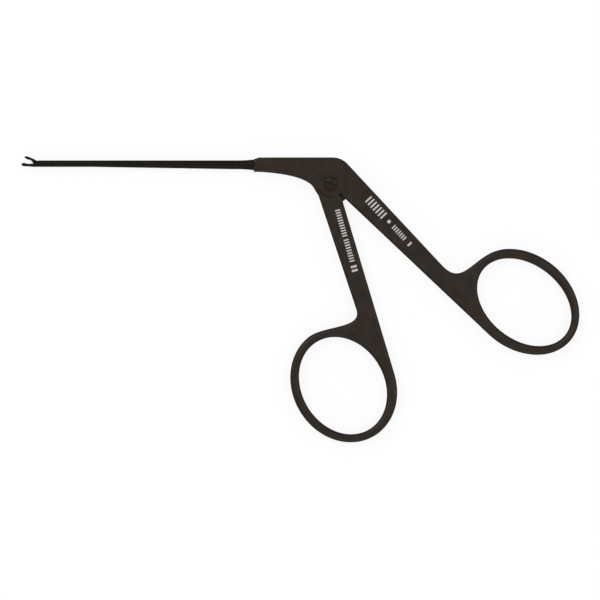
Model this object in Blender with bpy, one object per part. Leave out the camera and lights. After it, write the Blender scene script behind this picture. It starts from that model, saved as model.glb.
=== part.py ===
"""Alligator forceps for the ear: a slim two-bar shaft with cupped jaws on a pair of ring handles.

The forceps lie on their side, as they would on a tray. The main pivot's axis is the Z axis, and Z = 0 is
the flat underside. The jaws point along -X, and the rings lie towards -Y. Lengths are in metres.
"""

import math

import bmesh
import bpy
from mathutils import Matrix, Vector

MM = 0.001

# Plate of both handles
THICKNESS = 3.2 * MM
ARM_ROLL = 0.45 * MM
RING_ROLL = 0.85 * MM
NOSE_ROLL = 0.75 * MM
SEAM_ROLL = 0.12 * MM

# Head of the rear handle
NOSE_TO_PIVOT = 19.25 * MM
HEAD_COVER = 0.7 * MM
NOSE_HEIGHT = 3.55 * MM
NOSE_CHAMFER_LENGTH = 1.3 * MM
NOSE_CHAMFER_HEIGHT = 0.42 * MM
ELBOW_X = 2.6 * MM
ELBOW_RADIUS = 5.0 * MM
CHEEK_RADIUS = 3.25 * MM
CHEEK_EDGE_X = -3.85 * MM
CHEEK_EDGE_Y = -1.75 * MM
SEAM_ANGLE = 207.0
THROAT_FROM_NOSE = 2.3 * MM
THROAT_DROP = 0.05 * MM
THROAT_LEAVE = 7.2 * MM
THROAT_FALL = 0.55 * MM
THROAT_ARRIVE = 3.0 * MM
THROAT_LEAN = 18.5
SIDE_CLEARANCE = 0.06 * MM
POCKET_CLEARANCE = 0.15 * MM
POCKET_DROP = 4.0 * MM
POCKET_EASE_ANGLE = 0.5
HEEL_ROOM_FRONT = 0.45 * MM
HEEL_ROOM_BACK = 0.3 * MM
LEVER_ROOM = 0.3 * MM
ROD_ROOM = 0.075 * MM
CROTCH_EASE = 1.2 * MM

# Rear arm and ring
REAR_ARM_SLOPE = -47.0
REAR_ARM_LENGTH = 43.1 * MM
REAR_CROTCH_SLOPE = -46.0
REAR_FILLET = 5.0 * MM
REAR_RING_AHEAD = 1.53 * MM
REAR_RING_ASIDE = 6.86 * MM
REAR_RING_LONG = 13.14 * MM
REAR_RING_SHORT = 9.3 * MM
REAR_RING_TURN = 141.4
REAR_RIM_X = -0.29 * MM
REAR_RIM_Y = 0.1 * MM

# Front arm and ring
SHOULDER_GAP = 0.04 * MM
SEAM_DROP_SHARE = 1.1
SEAM_TURN_SHARE = 1.2
SHOULDER_LENGTH = 1.25 * MM
SHOULDER_SLOPE = -56.0
FRONT_ARM_LENGTH = 33.15 * MM
FRONT_ARM_SLOPE = -71.6
FRONT_FILLET = 2.7 * MM
FRONT_CORNER_ANGLE = -53.5
FRONT_CORNER_EASE = 1.25 * MM
FRONT_RING_AHEAD = 13.95 * MM
FRONT_RING_ASIDE = -9.19 * MM
FRONT_RING_LONG = 12.75 * MM
FRONT_RING_SHORT = 10.3 * MM
FRONT_RING_TURN = 120.7
FRONT_RIM_X = 0.18 * MM
FRONT_RIM_Y = 0.2 * MM

# Rim of both rings. Its outside is drawn a little towards the arm, by the two rim offsets above.
RIM_END = 2.1 * MM
RIM_SIDE = 2.5 * MM

# Lever on the front handle
TANG_THICKNESS = 1.24 * MM
TANG_RADIUS = 2.95 * MM
TANG_REACH = 1.9 * MM
TANG_EDGE_ANGLE = 3.0
TANG_ROOT_RIGHT_ANGLE = 10.0
TANG_ROOT_LEFT_ANGLE = 40.0
TANG_BACK_ANGLE = 7.0
TANG_FOOT_ANGLE = 23.0
TANG_FOOT_REACH = 0.5 * MM
LEVER_FOOT_ANGLE = 3.0
WEB_REACH = 5.25 * MM
WEB_LAP_ANGLE = 2.0
WEB_ROOM_ANGLE = 0.8
LEVER_ROOT_HALF = 0.92 * MM
LEVER_NECK_HALF = 0.38 * MM
LEVER_BALL_RADIUS = 0.55 * MM
LEVER_BALL_ARC = 260.0
BALL_DROP = 0.05 * MM
BALL_CLEARANCE = 0.03 * MM

# Main pivot screw
SCREW_HEAD_RADIUS = 1.6 * MM
SCREW_HEAD_DEPTH = 0.5 * MM
SCREW_HEAD_PROUD = 0.14 * MM
SCREW_EDGE_RADIUS = 1.28 * MM
SCREW_EDGE_PROUD = 0.112 * MM
SCREW_FLAT_RADIUS = 0.72 * MM
SCREW_SHANK_RADIUS = 1.0 * MM
SCREW_THREAD_RADIUS = 0.85 * MM
SCREW_SLOT_WIDTH = 0.42 * MM
SCREW_SLOT_DEPTH = 0.34 * MM
SCREW_SLOT_TURN = -20.0
SCREW_CLEARANCE = 0.03 * MM

# Shaft: the fixed bar below, the slider above
SHAFT_TOP = 5.9 * MM
SHAFT_RADIUS_FRONT = 0.81 * MM
SHAFT_RADIUS_ROOT = 1.1 * MM
TAPER_FROM_JAW_PIN = 14.4 * MM
TAPER_END_FROM_NOSE = 5.5 * MM
FLARE_LENGTH = 4.2 * MM
FLARE_RADIUS = 1.36 * MM
FLARE_RISE = 0.24 * MM
PLUG_RADIUS = 1.15 * MM
PLUG_LENGTH = 9.5 * MM
PLUG_CLEARANCE = 0.03 * MM
BORE_RELIEF = 0.4 * MM
SLIDER_HEIGHT = 0.95 * MM
SLIDE_GAP = 0.02 * MM
STOP_GAP = 0.06 * MM

# Rail that holds the slider on the fixed bar
RAIL_NECK_HALF = 0.18 * MM
RAIL_NECK_HEIGHT = 0.17 * MM
RAIL_HEAD_HALF = 0.34 * MM
RAIL_HEAD_HEIGHT = 0.2 * MM
RAIL_ROOT = 0.15 * MM
RAIL_CLEARANCE = 0.03 * MM
RAIL_FROM_JAW_PIN = 1.9 * MM
RAIL_END_FROM_NOSE = 4.75 * MM
RAIL_END_ROOM = 0.12 * MM

# Rear of the slider, inside the head
ROD_HALF = 0.6 * MM
ROD_TOP_INSET = 0.06 * MM
ROD_TOP_GAP = 0.1 * MM
ROD_LAP = 0.6 * MM
HEEL_DEPTH = 0.75 * MM
HEEL_WALL = 0.72 * MM
HEEL_EASE = 0.3 * MM

# Jaws
JAW_PIN_FROM_PIVOT = 74.4 * MM
JAW_PIN_DEPTH = 0.29 * MM
JAW_PIN_RADIUS = 0.15 * MM
BITE_HEIGHT = 0.58 * MM
BITE_GAP = 0.02 * MM
JAW_LENGTH = 3.0 * MM
JAW_ROOT = 0.1 * MM
JAW_OPEN = 28.5
BLADE_HALF = 0.25 * MM
BLADE_CLEARANCE = 0.03 * MM
BLADE_EYE = 0.27 * MM
BLADE_ROOT = 0.45 * MM
BLADE_ROOT_TOP = 1.24 * MM
BLADE_ROOT_LOW = 0.72 * MM
BLADE_WALL = 0.12 * MM
BLADE_TAIL_START = -20.0
BLADE_TAIL_END = 110.0
EYE_GAP_FRONT = 0.11 * MM
EYE_GAP_BACK = 0.5 * MM
FORK_NOSE = 0.3 * MM
FORK_DEPTH = 0.52 * MM
LINK_PIN_X = 0.8 * MM
LINK_PIN_Y = 0.89 * MM
LINK_PIN_RADIUS = 0.13 * MM
PIN_CLEARANCE = 0.02 * MM
CAM_CLEARANCE = 0.035 * MM
CUP_LENGTH = 0.8 * MM
CUP_WIDTH = 0.76 * MM
CUP_DEPTH = 0.4 * MM
CUP_FROM_TIP = 0.58 * MM

# Sections of the fixed jaw, tip first: share of the jaw's length before its pin, how far the bite face
# lies below the bite plane, the underside's height above the pin and the half width
LOWER_JAW = (
    (1.000, 0.20 * MM, 0.20 * MM, 0.08 * MM),
    (0.980, 0.11 * MM, 0.07 * MM, 0.25 * MM),
    (0.947, 0.05 * MM, -0.04 * MM, 0.38 * MM),
    (0.900, 0.01 * MM, -0.13 * MM, 0.48 * MM),
    (0.833, 0.00 * MM, -0.20 * MM, 0.55 * MM),
    (0.770, 0.00 * MM, -0.23 * MM, 0.57 * MM),
    (0.717, 0.00 * MM, -0.24 * MM, 0.55 * MM),
    (0.677, 0.03 * MM, -0.25 * MM, 0.51 * MM),
    (0.600, 0.11 * MM, -0.26 * MM, 0.46 * MM),
    (0.500, 0.17 * MM, -0.26 * MM, 0.44 * MM),
    (0.367, 0.20 * MM, -0.27 * MM, 0.47 * MM),
    (0.250, 0.18 * MM, -0.29 * MM, 0.55 * MM),
    (0.150, 0.14 * MM, -0.31 * MM, 0.68 * MM),
    (0.092, 0.14 * MM, -0.32 * MM, 0.74 * MM),
)

# Sections of the moving jaw while closed, tip first: share of the jaw's length before its pin, how far
# the bite face and the back lie above the bite plane, and the half width
UPPER_JAW = (
    (0.980, 0.02 * MM, 0.16 * MM, 0.08 * MM),
    (0.965, 0.00 * MM, 0.32 * MM, 0.25 * MM),
    (0.930, 0.00 * MM, 0.46 * MM, 0.38 * MM),
    (0.885, 0.00 * MM, 0.57 * MM, 0.48 * MM),
    (0.820, 0.00 * MM, 0.63 * MM, 0.55 * MM),
    (0.765, 0.00 * MM, 0.67 * MM, 0.57 * MM),
    (0.710, 0.00 * MM, 0.70 * MM, 0.55 * MM),
    (0.660, 0.01 * MM, 0.72 * MM, 0.52 * MM),
    (0.600, 0.06 * MM, 0.74 * MM, 0.46 * MM),
    (0.500, 0.15 * MM, 0.77 * MM, 0.44 * MM),
    (0.400, 0.18 * MM, 0.80 * MM, 0.46 * MM),
    (0.300, 0.14 * MM, 0.82 * MM, 0.53 * MM),
    (0.230, 0.07 * MM, 0.84 * MM, 0.61 * MM),
    (0.160, -0.02 * MM, 0.85 * MM, 0.69 * MM),
    (0.060, 0.00 * MM, 0.86 * MM, 0.74 * MM),
    (0.010, 0.42 * MM, 0.87 * MM, 0.75 * MM),
    (-0.008, 0.58 * MM, 0.87 * MM, 0.75 * MM),
)
JAW_ROUNDING = 0.3

# The slider's front end, filed back to clear the open jaw: height above the split, and how far it is cut
FORK_TRIM = (
    (-0.10 * MM, 0.12 * MM),
    (0.24 * MM, 0.04 * MM),
    (0.59 * MM, 0.075 * MM),
    (0.95 * MM, 0.20 * MM),
    (1.25 * MM, 0.26 * MM),
)

# Etched marks: rows of plain bars along each arm. A group is how far along the row it starts, how many bars
# it has, and their length, width and pitch.
MARK_DEPTH = 0.05 * MM
REAR_MARK_REACH = 10.14 * MM
REAR_MARK_TURN = -22.5
REAR_MARK_SLOPE = -47.5
REAR_MARKS = (
    (0.00 * MM, 7, 2.1 * MM, 0.42 * MM, 0.92 * MM),
    (7.55 * MM, 1, 0.8 * MM, 0.80 * MM, 0.80 * MM),
    (9.30 * MM, 7, 1.25 * MM, 0.34 * MM, 0.66 * MM),
    (15.15 * MM, 1, 1.3 * MM, 0.50 * MM, 0.50 * MM),
)
FRONT_MARK_REACH = 6.82 * MM
FRONT_MARK_TURN = -76.2
FRONT_MARK_SLOPE = -74.0
FRONT_MARKS = (
    (0.00 * MM, 11, 1.3 * MM, 0.34 * MM, 0.66 * MM),
    (7.70 * MM, 9, 1.3 * MM, 0.34 * MM, 0.68 * MM),
    (14.60 * MM, 2, 1.5 * MM, 0.55 * MM, 1.00 * MM),
)

# Fineness of round shapes
ROLL_STEPS = 2
RING_STEPS = 48
TURN_STEPS = 32
PIN_STEPS = 16
SECTION_STEPS = 14
CAM_STEPS = 4
FILLET_STEPS = 7
THROAT_STEPS = 13
FLARE_STEPS = 5

# How far cutters reach past what they cut, and how far a sharp corner's miter may reach
CUT_PAST = 2.0 * MM
MITER_LIMIT = 0.5

# How metallic the black treatment looks
METALLIC = 0.6

# Sizes worked out from those above
PIVOT = Vector((0, 0))
MID = THICKNESS / 2
SPLIT = SHAFT_TOP - SLIDER_HEIGHT
JAW_PIN = Vector((-JAW_PIN_FROM_PIVOT, SPLIT - JAW_PIN_DEPTH))
BORE_HEIGHT = SHAFT_TOP - SHAFT_RADIUS_ROOT
HEAD_TOP = SHAFT_TOP + HEAD_COVER
LEVER_ARM = SPLIT - BALL_DROP
TAPER_START = JAW_PIN.x + TAPER_FROM_JAW_PIN
NOSE_X = -NOSE_TO_PIVOT
TAPER_END = NOSE_X - TAPER_END_FROM_NOSE
PLUG_END = NOSE_X + PLUG_LENGTH
POCKET_HALF = TANG_THICKNESS / 2 + SIDE_CLEARANCE
HEAD_BOTTOM = HEAD_TOP - NOSE_HEIGHT


def closing_travel():
    """How far the slider moves forward while the jaw turns through its whole opening."""
    rest_angle = math.atan2(LINK_PIN_Y, LINK_PIN_X)
    return LINK_PIN_X - LINK_PIN_Y / math.tan(rest_angle + math.radians(JAW_OPEN))


TRAVEL = closing_travel()
HANDLE_CLOSE = TRAVEL / LEVER_ARM
LEVER_TILT = HANDLE_CLOSE / 2
LEVER_AXIS = Vector((math.sin(LEVER_TILT), math.cos(LEVER_TILT)))
LEVER_SIDE = Vector((math.cos(LEVER_TILT), -math.sin(LEVER_TILT)))
BALL = LEVER_AXIS * LEVER_ARM
ROD_TOP = BORE_HEIGHT + math.sqrt(PLUG_RADIUS**2 - ROD_HALF**2) - ROD_TOP_INSET
POCKET_TOP = ROD_TOP + ROD_TOP_GAP
WEB_EDGE_ANGLE = REAR_CROTCH_SLOPE + WEB_LAP_ANGLE


def polar(radius, degrees):
    """The point at this radius and angle from the main pivot."""
    return Vector((radius * math.cos(math.radians(degrees)), radius * math.sin(math.radians(degrees))))


def arc(centre, radius, start, end, steps):
    """Points along an arc, its two ends included. Angles are in degrees."""
    return [centre + polar(radius, start + (end - start) * k / steps) for k in range(steps + 1)]


def fillet(before, corner, after, radius, steps):
    """Points of the round that joins the edges before-corner and corner-after."""
    back, on = (before - corner).normalized(), (after - corner).normalized()
    half = math.acos(max(-1.0, min(1.0, back.dot(on)))) / 2
    reach = radius / math.tan(half)
    centre = corner + (back + on).normalized() * (radius / math.sin(half))
    first, last = corner + back * reach - centre, corner + on * reach - centre
    turn = first.angle_signed(last)
    return [centre + Matrix.Rotation(-turn * k / steps, 2) @ first for k in range(steps + 1)]


def bezier(start, leave, arrive, end, steps):
    """Points along a cubic curve, its two ends included."""
    found = []
    for k in range(steps + 1):
        t = k / steps
        found.append(
            start * (1 - t) ** 3 + leave * 3 * t * (1 - t) ** 2 + arrive * 3 * t**2 * (1 - t) + end * t**3
        )
    return found


class Ellipse:
    """A finger ring's outline: a turned ellipse."""

    def __init__(self, centre, long, short, turn):
        self.centre, self.long, self.short = centre, long, short
        self.turn = Matrix.Rotation(math.radians(turn), 2)

    def at(self, angle):
        return self.centre + self.turn @ Vector((self.long * math.cos(angle), self.short * math.sin(angle)))

    def touch(self, point, side):
        """The angle at which a straight line from the point touches the ellipse, on its +1 or -1 side."""
        local = self.turn.transposed() @ (point - self.centre)
        unit = Vector((local.x / self.long, local.y / self.short))
        return math.atan2(unit.y, unit.x) + side * math.acos(1 / unit.length)

    def between(self, start, end):
        """Points counterclockwise from one angle to another, both ends included."""
        span = (end - start) % (2 * math.pi)
        steps = max(2, round(RING_STEPS * span / (2 * math.pi)))
        return [self.at(start + span * k / steps) for k in range(steps + 1)]

    def whole(self):
        return [self.at(2 * math.pi * k / RING_STEPS) for k in range(RING_STEPS)]


def ring_pair(centre, long, short, turn, shift):
    """The inner ellipse of a finger ring, and the outer one around it whose centre is shifted."""
    return Ellipse(centre, long, short, turn), Ellipse(centre + shift, long + RIM_END, short + RIM_SIDE, turn)


def beside(point, slope, ahead, aside):
    """The point that lies this far ahead along a slope and this far to the left of it."""
    return point + polar(ahead, slope) + polar(aside, slope + 90)


ELBOW = Vector((ELBOW_X, HEAD_TOP))
REAR_CORNER = ELBOW + polar(REAR_ARM_LENGTH, REAR_ARM_SLOPE)
REAR_RING_END = beside(REAR_CORNER, REAR_ARM_SLOPE, REAR_RING_AHEAD, REAR_RING_ASIDE)
REAR_HOLE, REAR_RIM = ring_pair(
    REAR_RING_END - polar(REAR_RING_LONG, REAR_RING_TURN),
    REAR_RING_LONG,
    REAR_RING_SHORT,
    REAR_RING_TURN,
    Vector((REAR_RIM_X, REAR_RIM_Y)),
)
SHOULDER_END = Vector((CHEEK_EDGE_X, CHEEK_EDGE_Y - SEAM_DROP_SHARE * SHOULDER_GAP))
FRONT_EDGE = SHOULDER_END + polar(SHOULDER_LENGTH, SHOULDER_SLOPE)
FRONT_CORNER = FRONT_EDGE + polar(FRONT_ARM_LENGTH, FRONT_ARM_SLOPE)
FRONT_HOLE, FRONT_RIM = ring_pair(
    beside(FRONT_CORNER, FRONT_ARM_SLOPE, FRONT_RING_AHEAD, FRONT_RING_ASIDE),
    FRONT_RING_LONG,
    FRONT_RING_SHORT,
    FRONT_RING_TURN,
    Vector((FRONT_RIM_X, FRONT_RIM_Y)),
)


def clear_scene():
    for old in list(bpy.data.objects):
        bpy.data.objects.remove(old)


def black_finish(name, colour, roughness):
    """A hard black surface treatment on steel."""
    made = bpy.data.materials.new(name)
    made.use_nodes = True
    shader = made.node_tree.nodes["Principled BSDF"]
    shader.inputs["Base Color"].default_value = (*colour, 1)
    shader.inputs["Roughness"].default_value = roughness
    shader.inputs["Metallic"].default_value = METALLIC
    return made


def add_object(name, bm, material, origin=(0, 0, 0)):
    """Makes an object of the mesh, with its origin at the given point and its shape left in place."""
    bmesh.ops.recalc_face_normals(bm, faces=bm.faces)
    bmesh.ops.translate(bm, verts=bm.verts, vec=-Vector(origin))
    mesh = bpy.data.meshes.new(name)
    bm.to_mesh(mesh)
    bm.free()
    mesh.materials.append(material)
    made = bpy.data.objects.new(name, mesh)
    made.location = origin
    bpy.context.scene.collection.objects.link(made)
    return made


def combine(target, bm, operation, material):
    """Joins the shape to the target, or cuts it away. The shape stays in the file as a hidden helper."""
    count = len(target.modifiers) + 1
    helper = add_object(f"{target.name}_{operation.lower()}_{count}", bm, material)
    helper.hide_render = True
    helper.display_type = "WIRE"
    modifier = target.modifiers.new(helper.name, "BOOLEAN")
    modifier.object = helper
    modifier.operation = operation
    modifier.solver = "EXACT"
    modifier.material_mode = "TRANSFER"


def cut(target, bm, material):
    combine(target, bm, "DIFFERENCE", material)


def join(target, bm, material):
    combine(target, bm, "UNION", material)


def smooth(target, degrees=35.0):
    target.data.shade_smooth()
    target.data.set_sharp_from_angle(angle=math.radians(degrees))


def add_loft(bm, sections):
    """Adds a closed solid through rings of points that all have the same count."""
    rings = [[bm.verts.new(point) for point in section] for section in sections]
    for low, high in zip(rings, rings[1:]):
        for k in range(len(low)):
            after = (k + 1) % len(low)
            bm.faces.new((low[k], low[after], high[after], high[k]))
    bm.faces.new(list(reversed(rings[0])))
    bm.faces.new(rings[-1])


def loft(sections):
    bm = bmesh.new()
    add_loft(bm, sections)
    return bm


def add_prism(bm, outline, low, high):
    """Adds the outline, in the plane of the handles, made solid between two heights."""
    add_loft(bm, [[(p.x, p.y, z) for p in outline] for z in (low, high)])


def prism(outline, low, high):
    bm = bmesh.new()
    add_prism(bm, outline, low, high)
    return bm


def turned(profile, steps, centre=(0.0, 0.0)):
    """A solid turned about an upright axis, from (radius, height) pairs listed from bottom to top."""
    middle = Vector(centre)
    rings = []
    for radius, height in profile:
        ring = [middle + polar(radius, 360 * k / steps) for k in range(steps)]
        rings.append([(p.x, p.y, height) for p in ring])
    return loft(rings)


def miters(outline):
    """At each point of a closed outline, the inward step that moves both its edges in by one unit."""
    found = []
    for k, point in enumerate(outline):
        before = (point - outline[k - 1]).normalized()
        after = (outline[(k + 1) % len(outline)] - point).normalized()
        normals = [Vector((-edge.y, edge.x)) for edge in (before, after)]
        middle = (normals[0] + normals[1]).normalized()
        found.append(middle / max(MITER_LIMIT, middle.dot(normals[1])))
    return found


def rolled_loops(outline, rolls):
    """Loops up the wall of a plate whose edges are rolled to each point's own radius."""
    steps_in = miters(outline)
    loops = []
    for side in (-1, 1):
        for k in range(ROLL_STEPS + 1):
            turn = math.pi / 2 * (ROLL_STEPS - k if side < 0 else k) / ROLL_STEPS
            loop = []
            for point, roll, step_in in zip(outline, rolls, steps_in):
                moved = point + step_in * roll * (1 - math.cos(turn))
                loop.append((moved.x, moved.y, MID + side * (MID - roll * (1 - math.sin(turn)))))
            loops.append(loop)
    return loops


def rolled_plate(outline, rolls, hole, hole_roll):
    """A plate with rolled edges and one hole. The outline runs counterclockwise, and so does the hole's."""
    bm = bmesh.new()
    rims = {0: [], -1: []}
    walls = (rolled_loops(outline, rolls), rolled_loops(hole[::-1], [hole_roll] * len(hole)))
    for loops in walls:
        rings = [[bm.verts.new(point) for point in loop] for loop in loops]
        for low, high in zip(rings, rings[1:]):
            for k in range(len(low)):
                after = (k + 1) % len(low)
                bm.faces.new((low[k], low[after], high[after], high[k]))
        for end, edges in rims.items():
            ring = rings[end]
            edges += [bm.edges.get((ring[k - 1], ring[k])) for k in range(len(ring))]
    for edges in rims.values():
        bmesh.ops.triangle_fill(bm, edges=edges, use_beauty=True)
    return bm


def with_roll(points, start, end=None):
    """Pairs each point with a roll radius that goes evenly from the start's to the end's."""
    last = start if end is None else end
    return [(p, start + (last - start) * k / max(1, len(points) - 1)) for k, p in enumerate(points)]


def rear_outline():
    """The rear handle's outline with its roll radii: nose, throat, cheeks, arm, ring, elbow and top."""
    throat_end = Vector((CHEEK_EDGE_X, CHEEK_EDGE_Y))
    throat_start = Vector((NOSE_X + THROAT_FROM_NOSE, HEAD_BOTTOM - THROAT_DROP))
    throat_leave = throat_start + Vector((THROAT_LEAVE, -THROAT_FALL))
    throat_arrive = throat_end + polar(THROAT_ARRIVE, 90 + THROAT_LEAN)
    throat = bezier(throat_start, throat_leave, throat_arrive, throat_end, THROAT_STEPS)
    cheek = arc(PIVOT, CHEEK_RADIUS, SEAM_ANGLE, 360 + REAR_CROTCH_SLOPE, THROAT_STEPS)
    inner_touch = REAR_RIM.touch(cheek[-1], 1)
    shoulder_touch = REAR_RIM.touch(REAR_CORNER, -1)
    shoulder = fillet(REAR_RIM.at(shoulder_touch), REAR_CORNER, ELBOW, REAR_FILLET, FILLET_STEPS)
    nose_top = Vector((NOSE_X + NOSE_CHAMFER_LENGTH, HEAD_TOP))
    nose_bottom = Vector((NOSE_X, HEAD_BOTTOM))
    return (
        with_roll([Vector((NOSE_X, HEAD_TOP - NOSE_CHAMFER_HEIGHT)), nose_bottom], SEAM_ROLL)
        + with_roll([nose_bottom + Vector((NOSE_ROLL, 0))], NOSE_ROLL)
        + with_roll(throat, NOSE_ROLL, ARM_ROLL)[:-2]
        + with_roll(throat[-1:] + cheek, SEAM_ROLL)
        + with_roll([cheek[-1] + polar(CROTCH_EASE, REAR_CROTCH_SLOPE)], ARM_ROLL)
        + with_roll(REAR_RIM.between(inner_touch, shoulder_touch), RING_ROLL)
        + with_roll(shoulder, RING_ROLL, ARM_ROLL)
        + with_roll(fillet(REAR_CORNER, ELBOW, nose_top, ELBOW_RADIUS, FILLET_STEPS), ARM_ROLL)
        + with_roll([nose_top + Vector((ELBOW_RADIUS, 0)), nose_top], ARM_ROLL, NOSE_ROLL)
    )


def front_outline():
    """The front handle's outline with its roll radii: shoulder, arm and ring. The lever is joined later."""
    shoulder = CHEEK_RADIUS + SHOULDER_GAP
    seam = SEAM_ANGLE + math.degrees(SEAM_TURN_SHARE * SHOULDER_GAP / shoulder)
    seat = arc(PIVOT, shoulder, FRONT_CORNER_ANGLE, seam - 360, THROAT_STEPS)
    shoulder_touch = FRONT_RIM.touch(FRONT_CORNER, 1)
    ease = polar(shoulder + FRONT_CORNER_EASE, FRONT_CORNER_ANGLE)
    edge_touch = FRONT_RIM.touch(ease, -1)
    inside = fillet(FRONT_EDGE, FRONT_CORNER, FRONT_RIM.at(shoulder_touch), FRONT_FILLET, FILLET_STEPS)
    return (
        with_roll([SHOULDER_END], SEAM_ROLL)
        + with_roll([FRONT_EDGE], ARM_ROLL)
        + with_roll(inside, ARM_ROLL, RING_ROLL)
        + with_roll(FRONT_RIM.between(shoulder_touch, edge_touch), RING_ROLL)
        + with_roll([ease], ARM_ROLL)
        + with_roll(seat, SEAM_ROLL)
    )


def pocket_outline():
    """The slot in the head, seen from the side: lever window, slider channel and the open bottom."""
    radius = TANG_RADIUS + POCKET_CLEARANCE
    below = radius + POCKET_DROP
    crotch = REAR_CROTCH_SLOPE - POCKET_EASE_ANGLE
    web_radius = WEB_REACH + POCKET_CLEARANCE
    web_edge = WEB_EDGE_ANGLE + math.degrees(HANDLE_CLOSE) + WEB_ROOM_ANGLE
    heel_low = SPLIT - HEEL_DEPTH - POCKET_CLEARANCE
    heel_front = BALL.x - LEVER_BALL_RADIUS - HEEL_WALL - TRAVEL - HEEL_ROOM_FRONT
    heel_back = BALL.x + LEVER_BALL_RADIUS + HEEL_WALL + HEEL_ROOM_BACK
    window = LEVER_ROOT_HALF + LEVER_ARM * math.sin(LEVER_TILT) + LEVER_ROOM
    rod_low = SPLIT - SLIDE_GAP - ROD_ROOM
    channel_front = PLUG_END - ROD_LAP
    open_half = math.degrees(math.asin(window / radius))
    return (
        [Vector((-radius, -below))]
        + arc(PIVOT, radius, 180, 90 + open_half, FILLET_STEPS)
        + [
            Vector((-window, heel_low)),
            Vector((heel_front, heel_low)),
            Vector((heel_front, rod_low)),
            Vector((channel_front, rod_low)),
            Vector((channel_front, POCKET_TOP)),
            Vector((heel_back, POCKET_TOP)),
            Vector((heel_back, heel_low)),
            Vector((window, heel_low)),
        ]
        + arc(PIVOT, radius, 90 - open_half, web_edge, THROAT_STEPS)
        + [polar(web_radius, web_edge), polar(web_radius, crotch)]
        + [polar(below, crotch), Vector((polar(below, crotch).x, -below))]
    )


def row_of_marks(start, slope, groups, height):
    """Groups of plain etched bars in a row along an arm."""
    bm = bmesh.new()
    for reach, count, length, width, pitch in groups:
        for k in range(count):
            middle = start + polar(reach + pitch * k, slope)
            bar = []
            for along, side in ((-1, -1), (1, -1), (1, 1), (-1, 1)):
                bar.append(middle + polar(along * width / 2, slope) + polar(side * length / 2, slope + 90))
            add_prism(bm, bar, height - MARK_DEPTH, height + MARK_DEPTH)
    return bm


def bore(radius, length, steps):
    """A round cutter along the shaft's axis, from just outside the nose to a depth inside it."""
    rings = []
    for x in (NOSE_X - CUT_PAST, NOSE_X + length):
        ring = [polar(radius, 360 * k / steps) for k in range(steps)]
        rings.append([(x, BORE_HEIGHT + p.y, MID + p.x) for p in ring])
    return loft(rings)


def make_rear_handle(finish, etched):
    """The rear handle is one forging: ring, arm, slotted head and the nose that takes the shaft."""
    outline, rolls = zip(*rear_outline())
    handle = add_object("rear_handle", rolled_plate(outline, rolls, REAR_HOLE.whole(), RING_ROLL), finish)
    cut(handle, bore(PLUG_RADIUS + PLUG_CLEARANCE, PLUG_LENGTH + BORE_RELIEF, TURN_STEPS), finish)
    cut(handle, prism(pocket_outline(), MID - POCKET_HALF, MID + POCKET_HALF), finish)
    head_floor = THICKNESS - SCREW_HEAD_DEPTH - SCREW_CLEARANCE
    screw_hole = [
        (SCREW_THREAD_RADIUS + SCREW_CLEARANCE, -CUT_PAST),
        (SCREW_THREAD_RADIUS + SCREW_CLEARANCE, MID),
        (SCREW_SHANK_RADIUS + SCREW_CLEARANCE, MID),
        (SCREW_SHANK_RADIUS + SCREW_CLEARANCE, head_floor),
        (SCREW_HEAD_RADIUS + SCREW_CLEARANCE, head_floor),
        (SCREW_HEAD_RADIUS + SCREW_CLEARANCE, THICKNESS + CUT_PAST),
    ]
    cut(handle, turned(screw_hole, TURN_STEPS), finish)
    first_mark = polar(REAR_MARK_REACH, REAR_MARK_TURN)
    cut(handle, row_of_marks(first_mark, REAR_MARK_SLOPE, REAR_MARKS, THICKNESS), etched)
    smooth(handle)
    return handle


def lever_outline():
    """The front handle's thin upper part: neck, web, pivot disc, lever and the ball that drives the slider.

    The web closes the crotch between the arms and runs into the rear arm's slot.
    """
    root, neck = LEVER_AXIS * TANG_RADIUS, LEVER_AXIS * (LEVER_ARM - 2 * LEVER_BALL_RADIUS)
    spread = math.degrees(math.asin(LEVER_ROOT_HALF / TANG_RADIUS)) + LEVER_FOOT_ANGLE
    right_foot = FRONT_CORNER_ANGLE - TANG_EDGE_ANGLE
    ball_start = 90 - math.degrees(LEVER_TILT) - LEVER_BALL_ARC / 2
    inside = CHEEK_RADIUS + SHOULDER_GAP + TANG_REACH
    return (
        [polar(inside, SEAM_ANGLE + TANG_ROOT_LEFT_ANGLE), polar(inside, right_foot - TANG_ROOT_RIGHT_ANGLE)]
        + [polar(WEB_REACH, right_foot), polar(WEB_REACH, WEB_EDGE_ANGLE)]
        + arc(PIVOT, TANG_RADIUS, WEB_EDGE_ANGLE, 90 - spread, THROAT_STEPS)
        + [root + LEVER_SIDE * LEVER_ROOT_HALF, neck + LEVER_SIDE * LEVER_NECK_HALF]
        + arc(BALL, LEVER_BALL_RADIUS, ball_start, ball_start + LEVER_BALL_ARC, THROAT_STEPS)
        + [neck - LEVER_SIDE * LEVER_NECK_HALF, root - LEVER_SIDE * LEVER_ROOT_HALF]
        + arc(PIVOT, TANG_RADIUS, 90 + spread, SEAM_ANGLE - TANG_BACK_ANGLE, FILLET_STEPS)
        + [polar(CHEEK_RADIUS + SHOULDER_GAP + TANG_FOOT_REACH, SEAM_ANGLE + TANG_FOOT_ANGLE)]
    )


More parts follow.
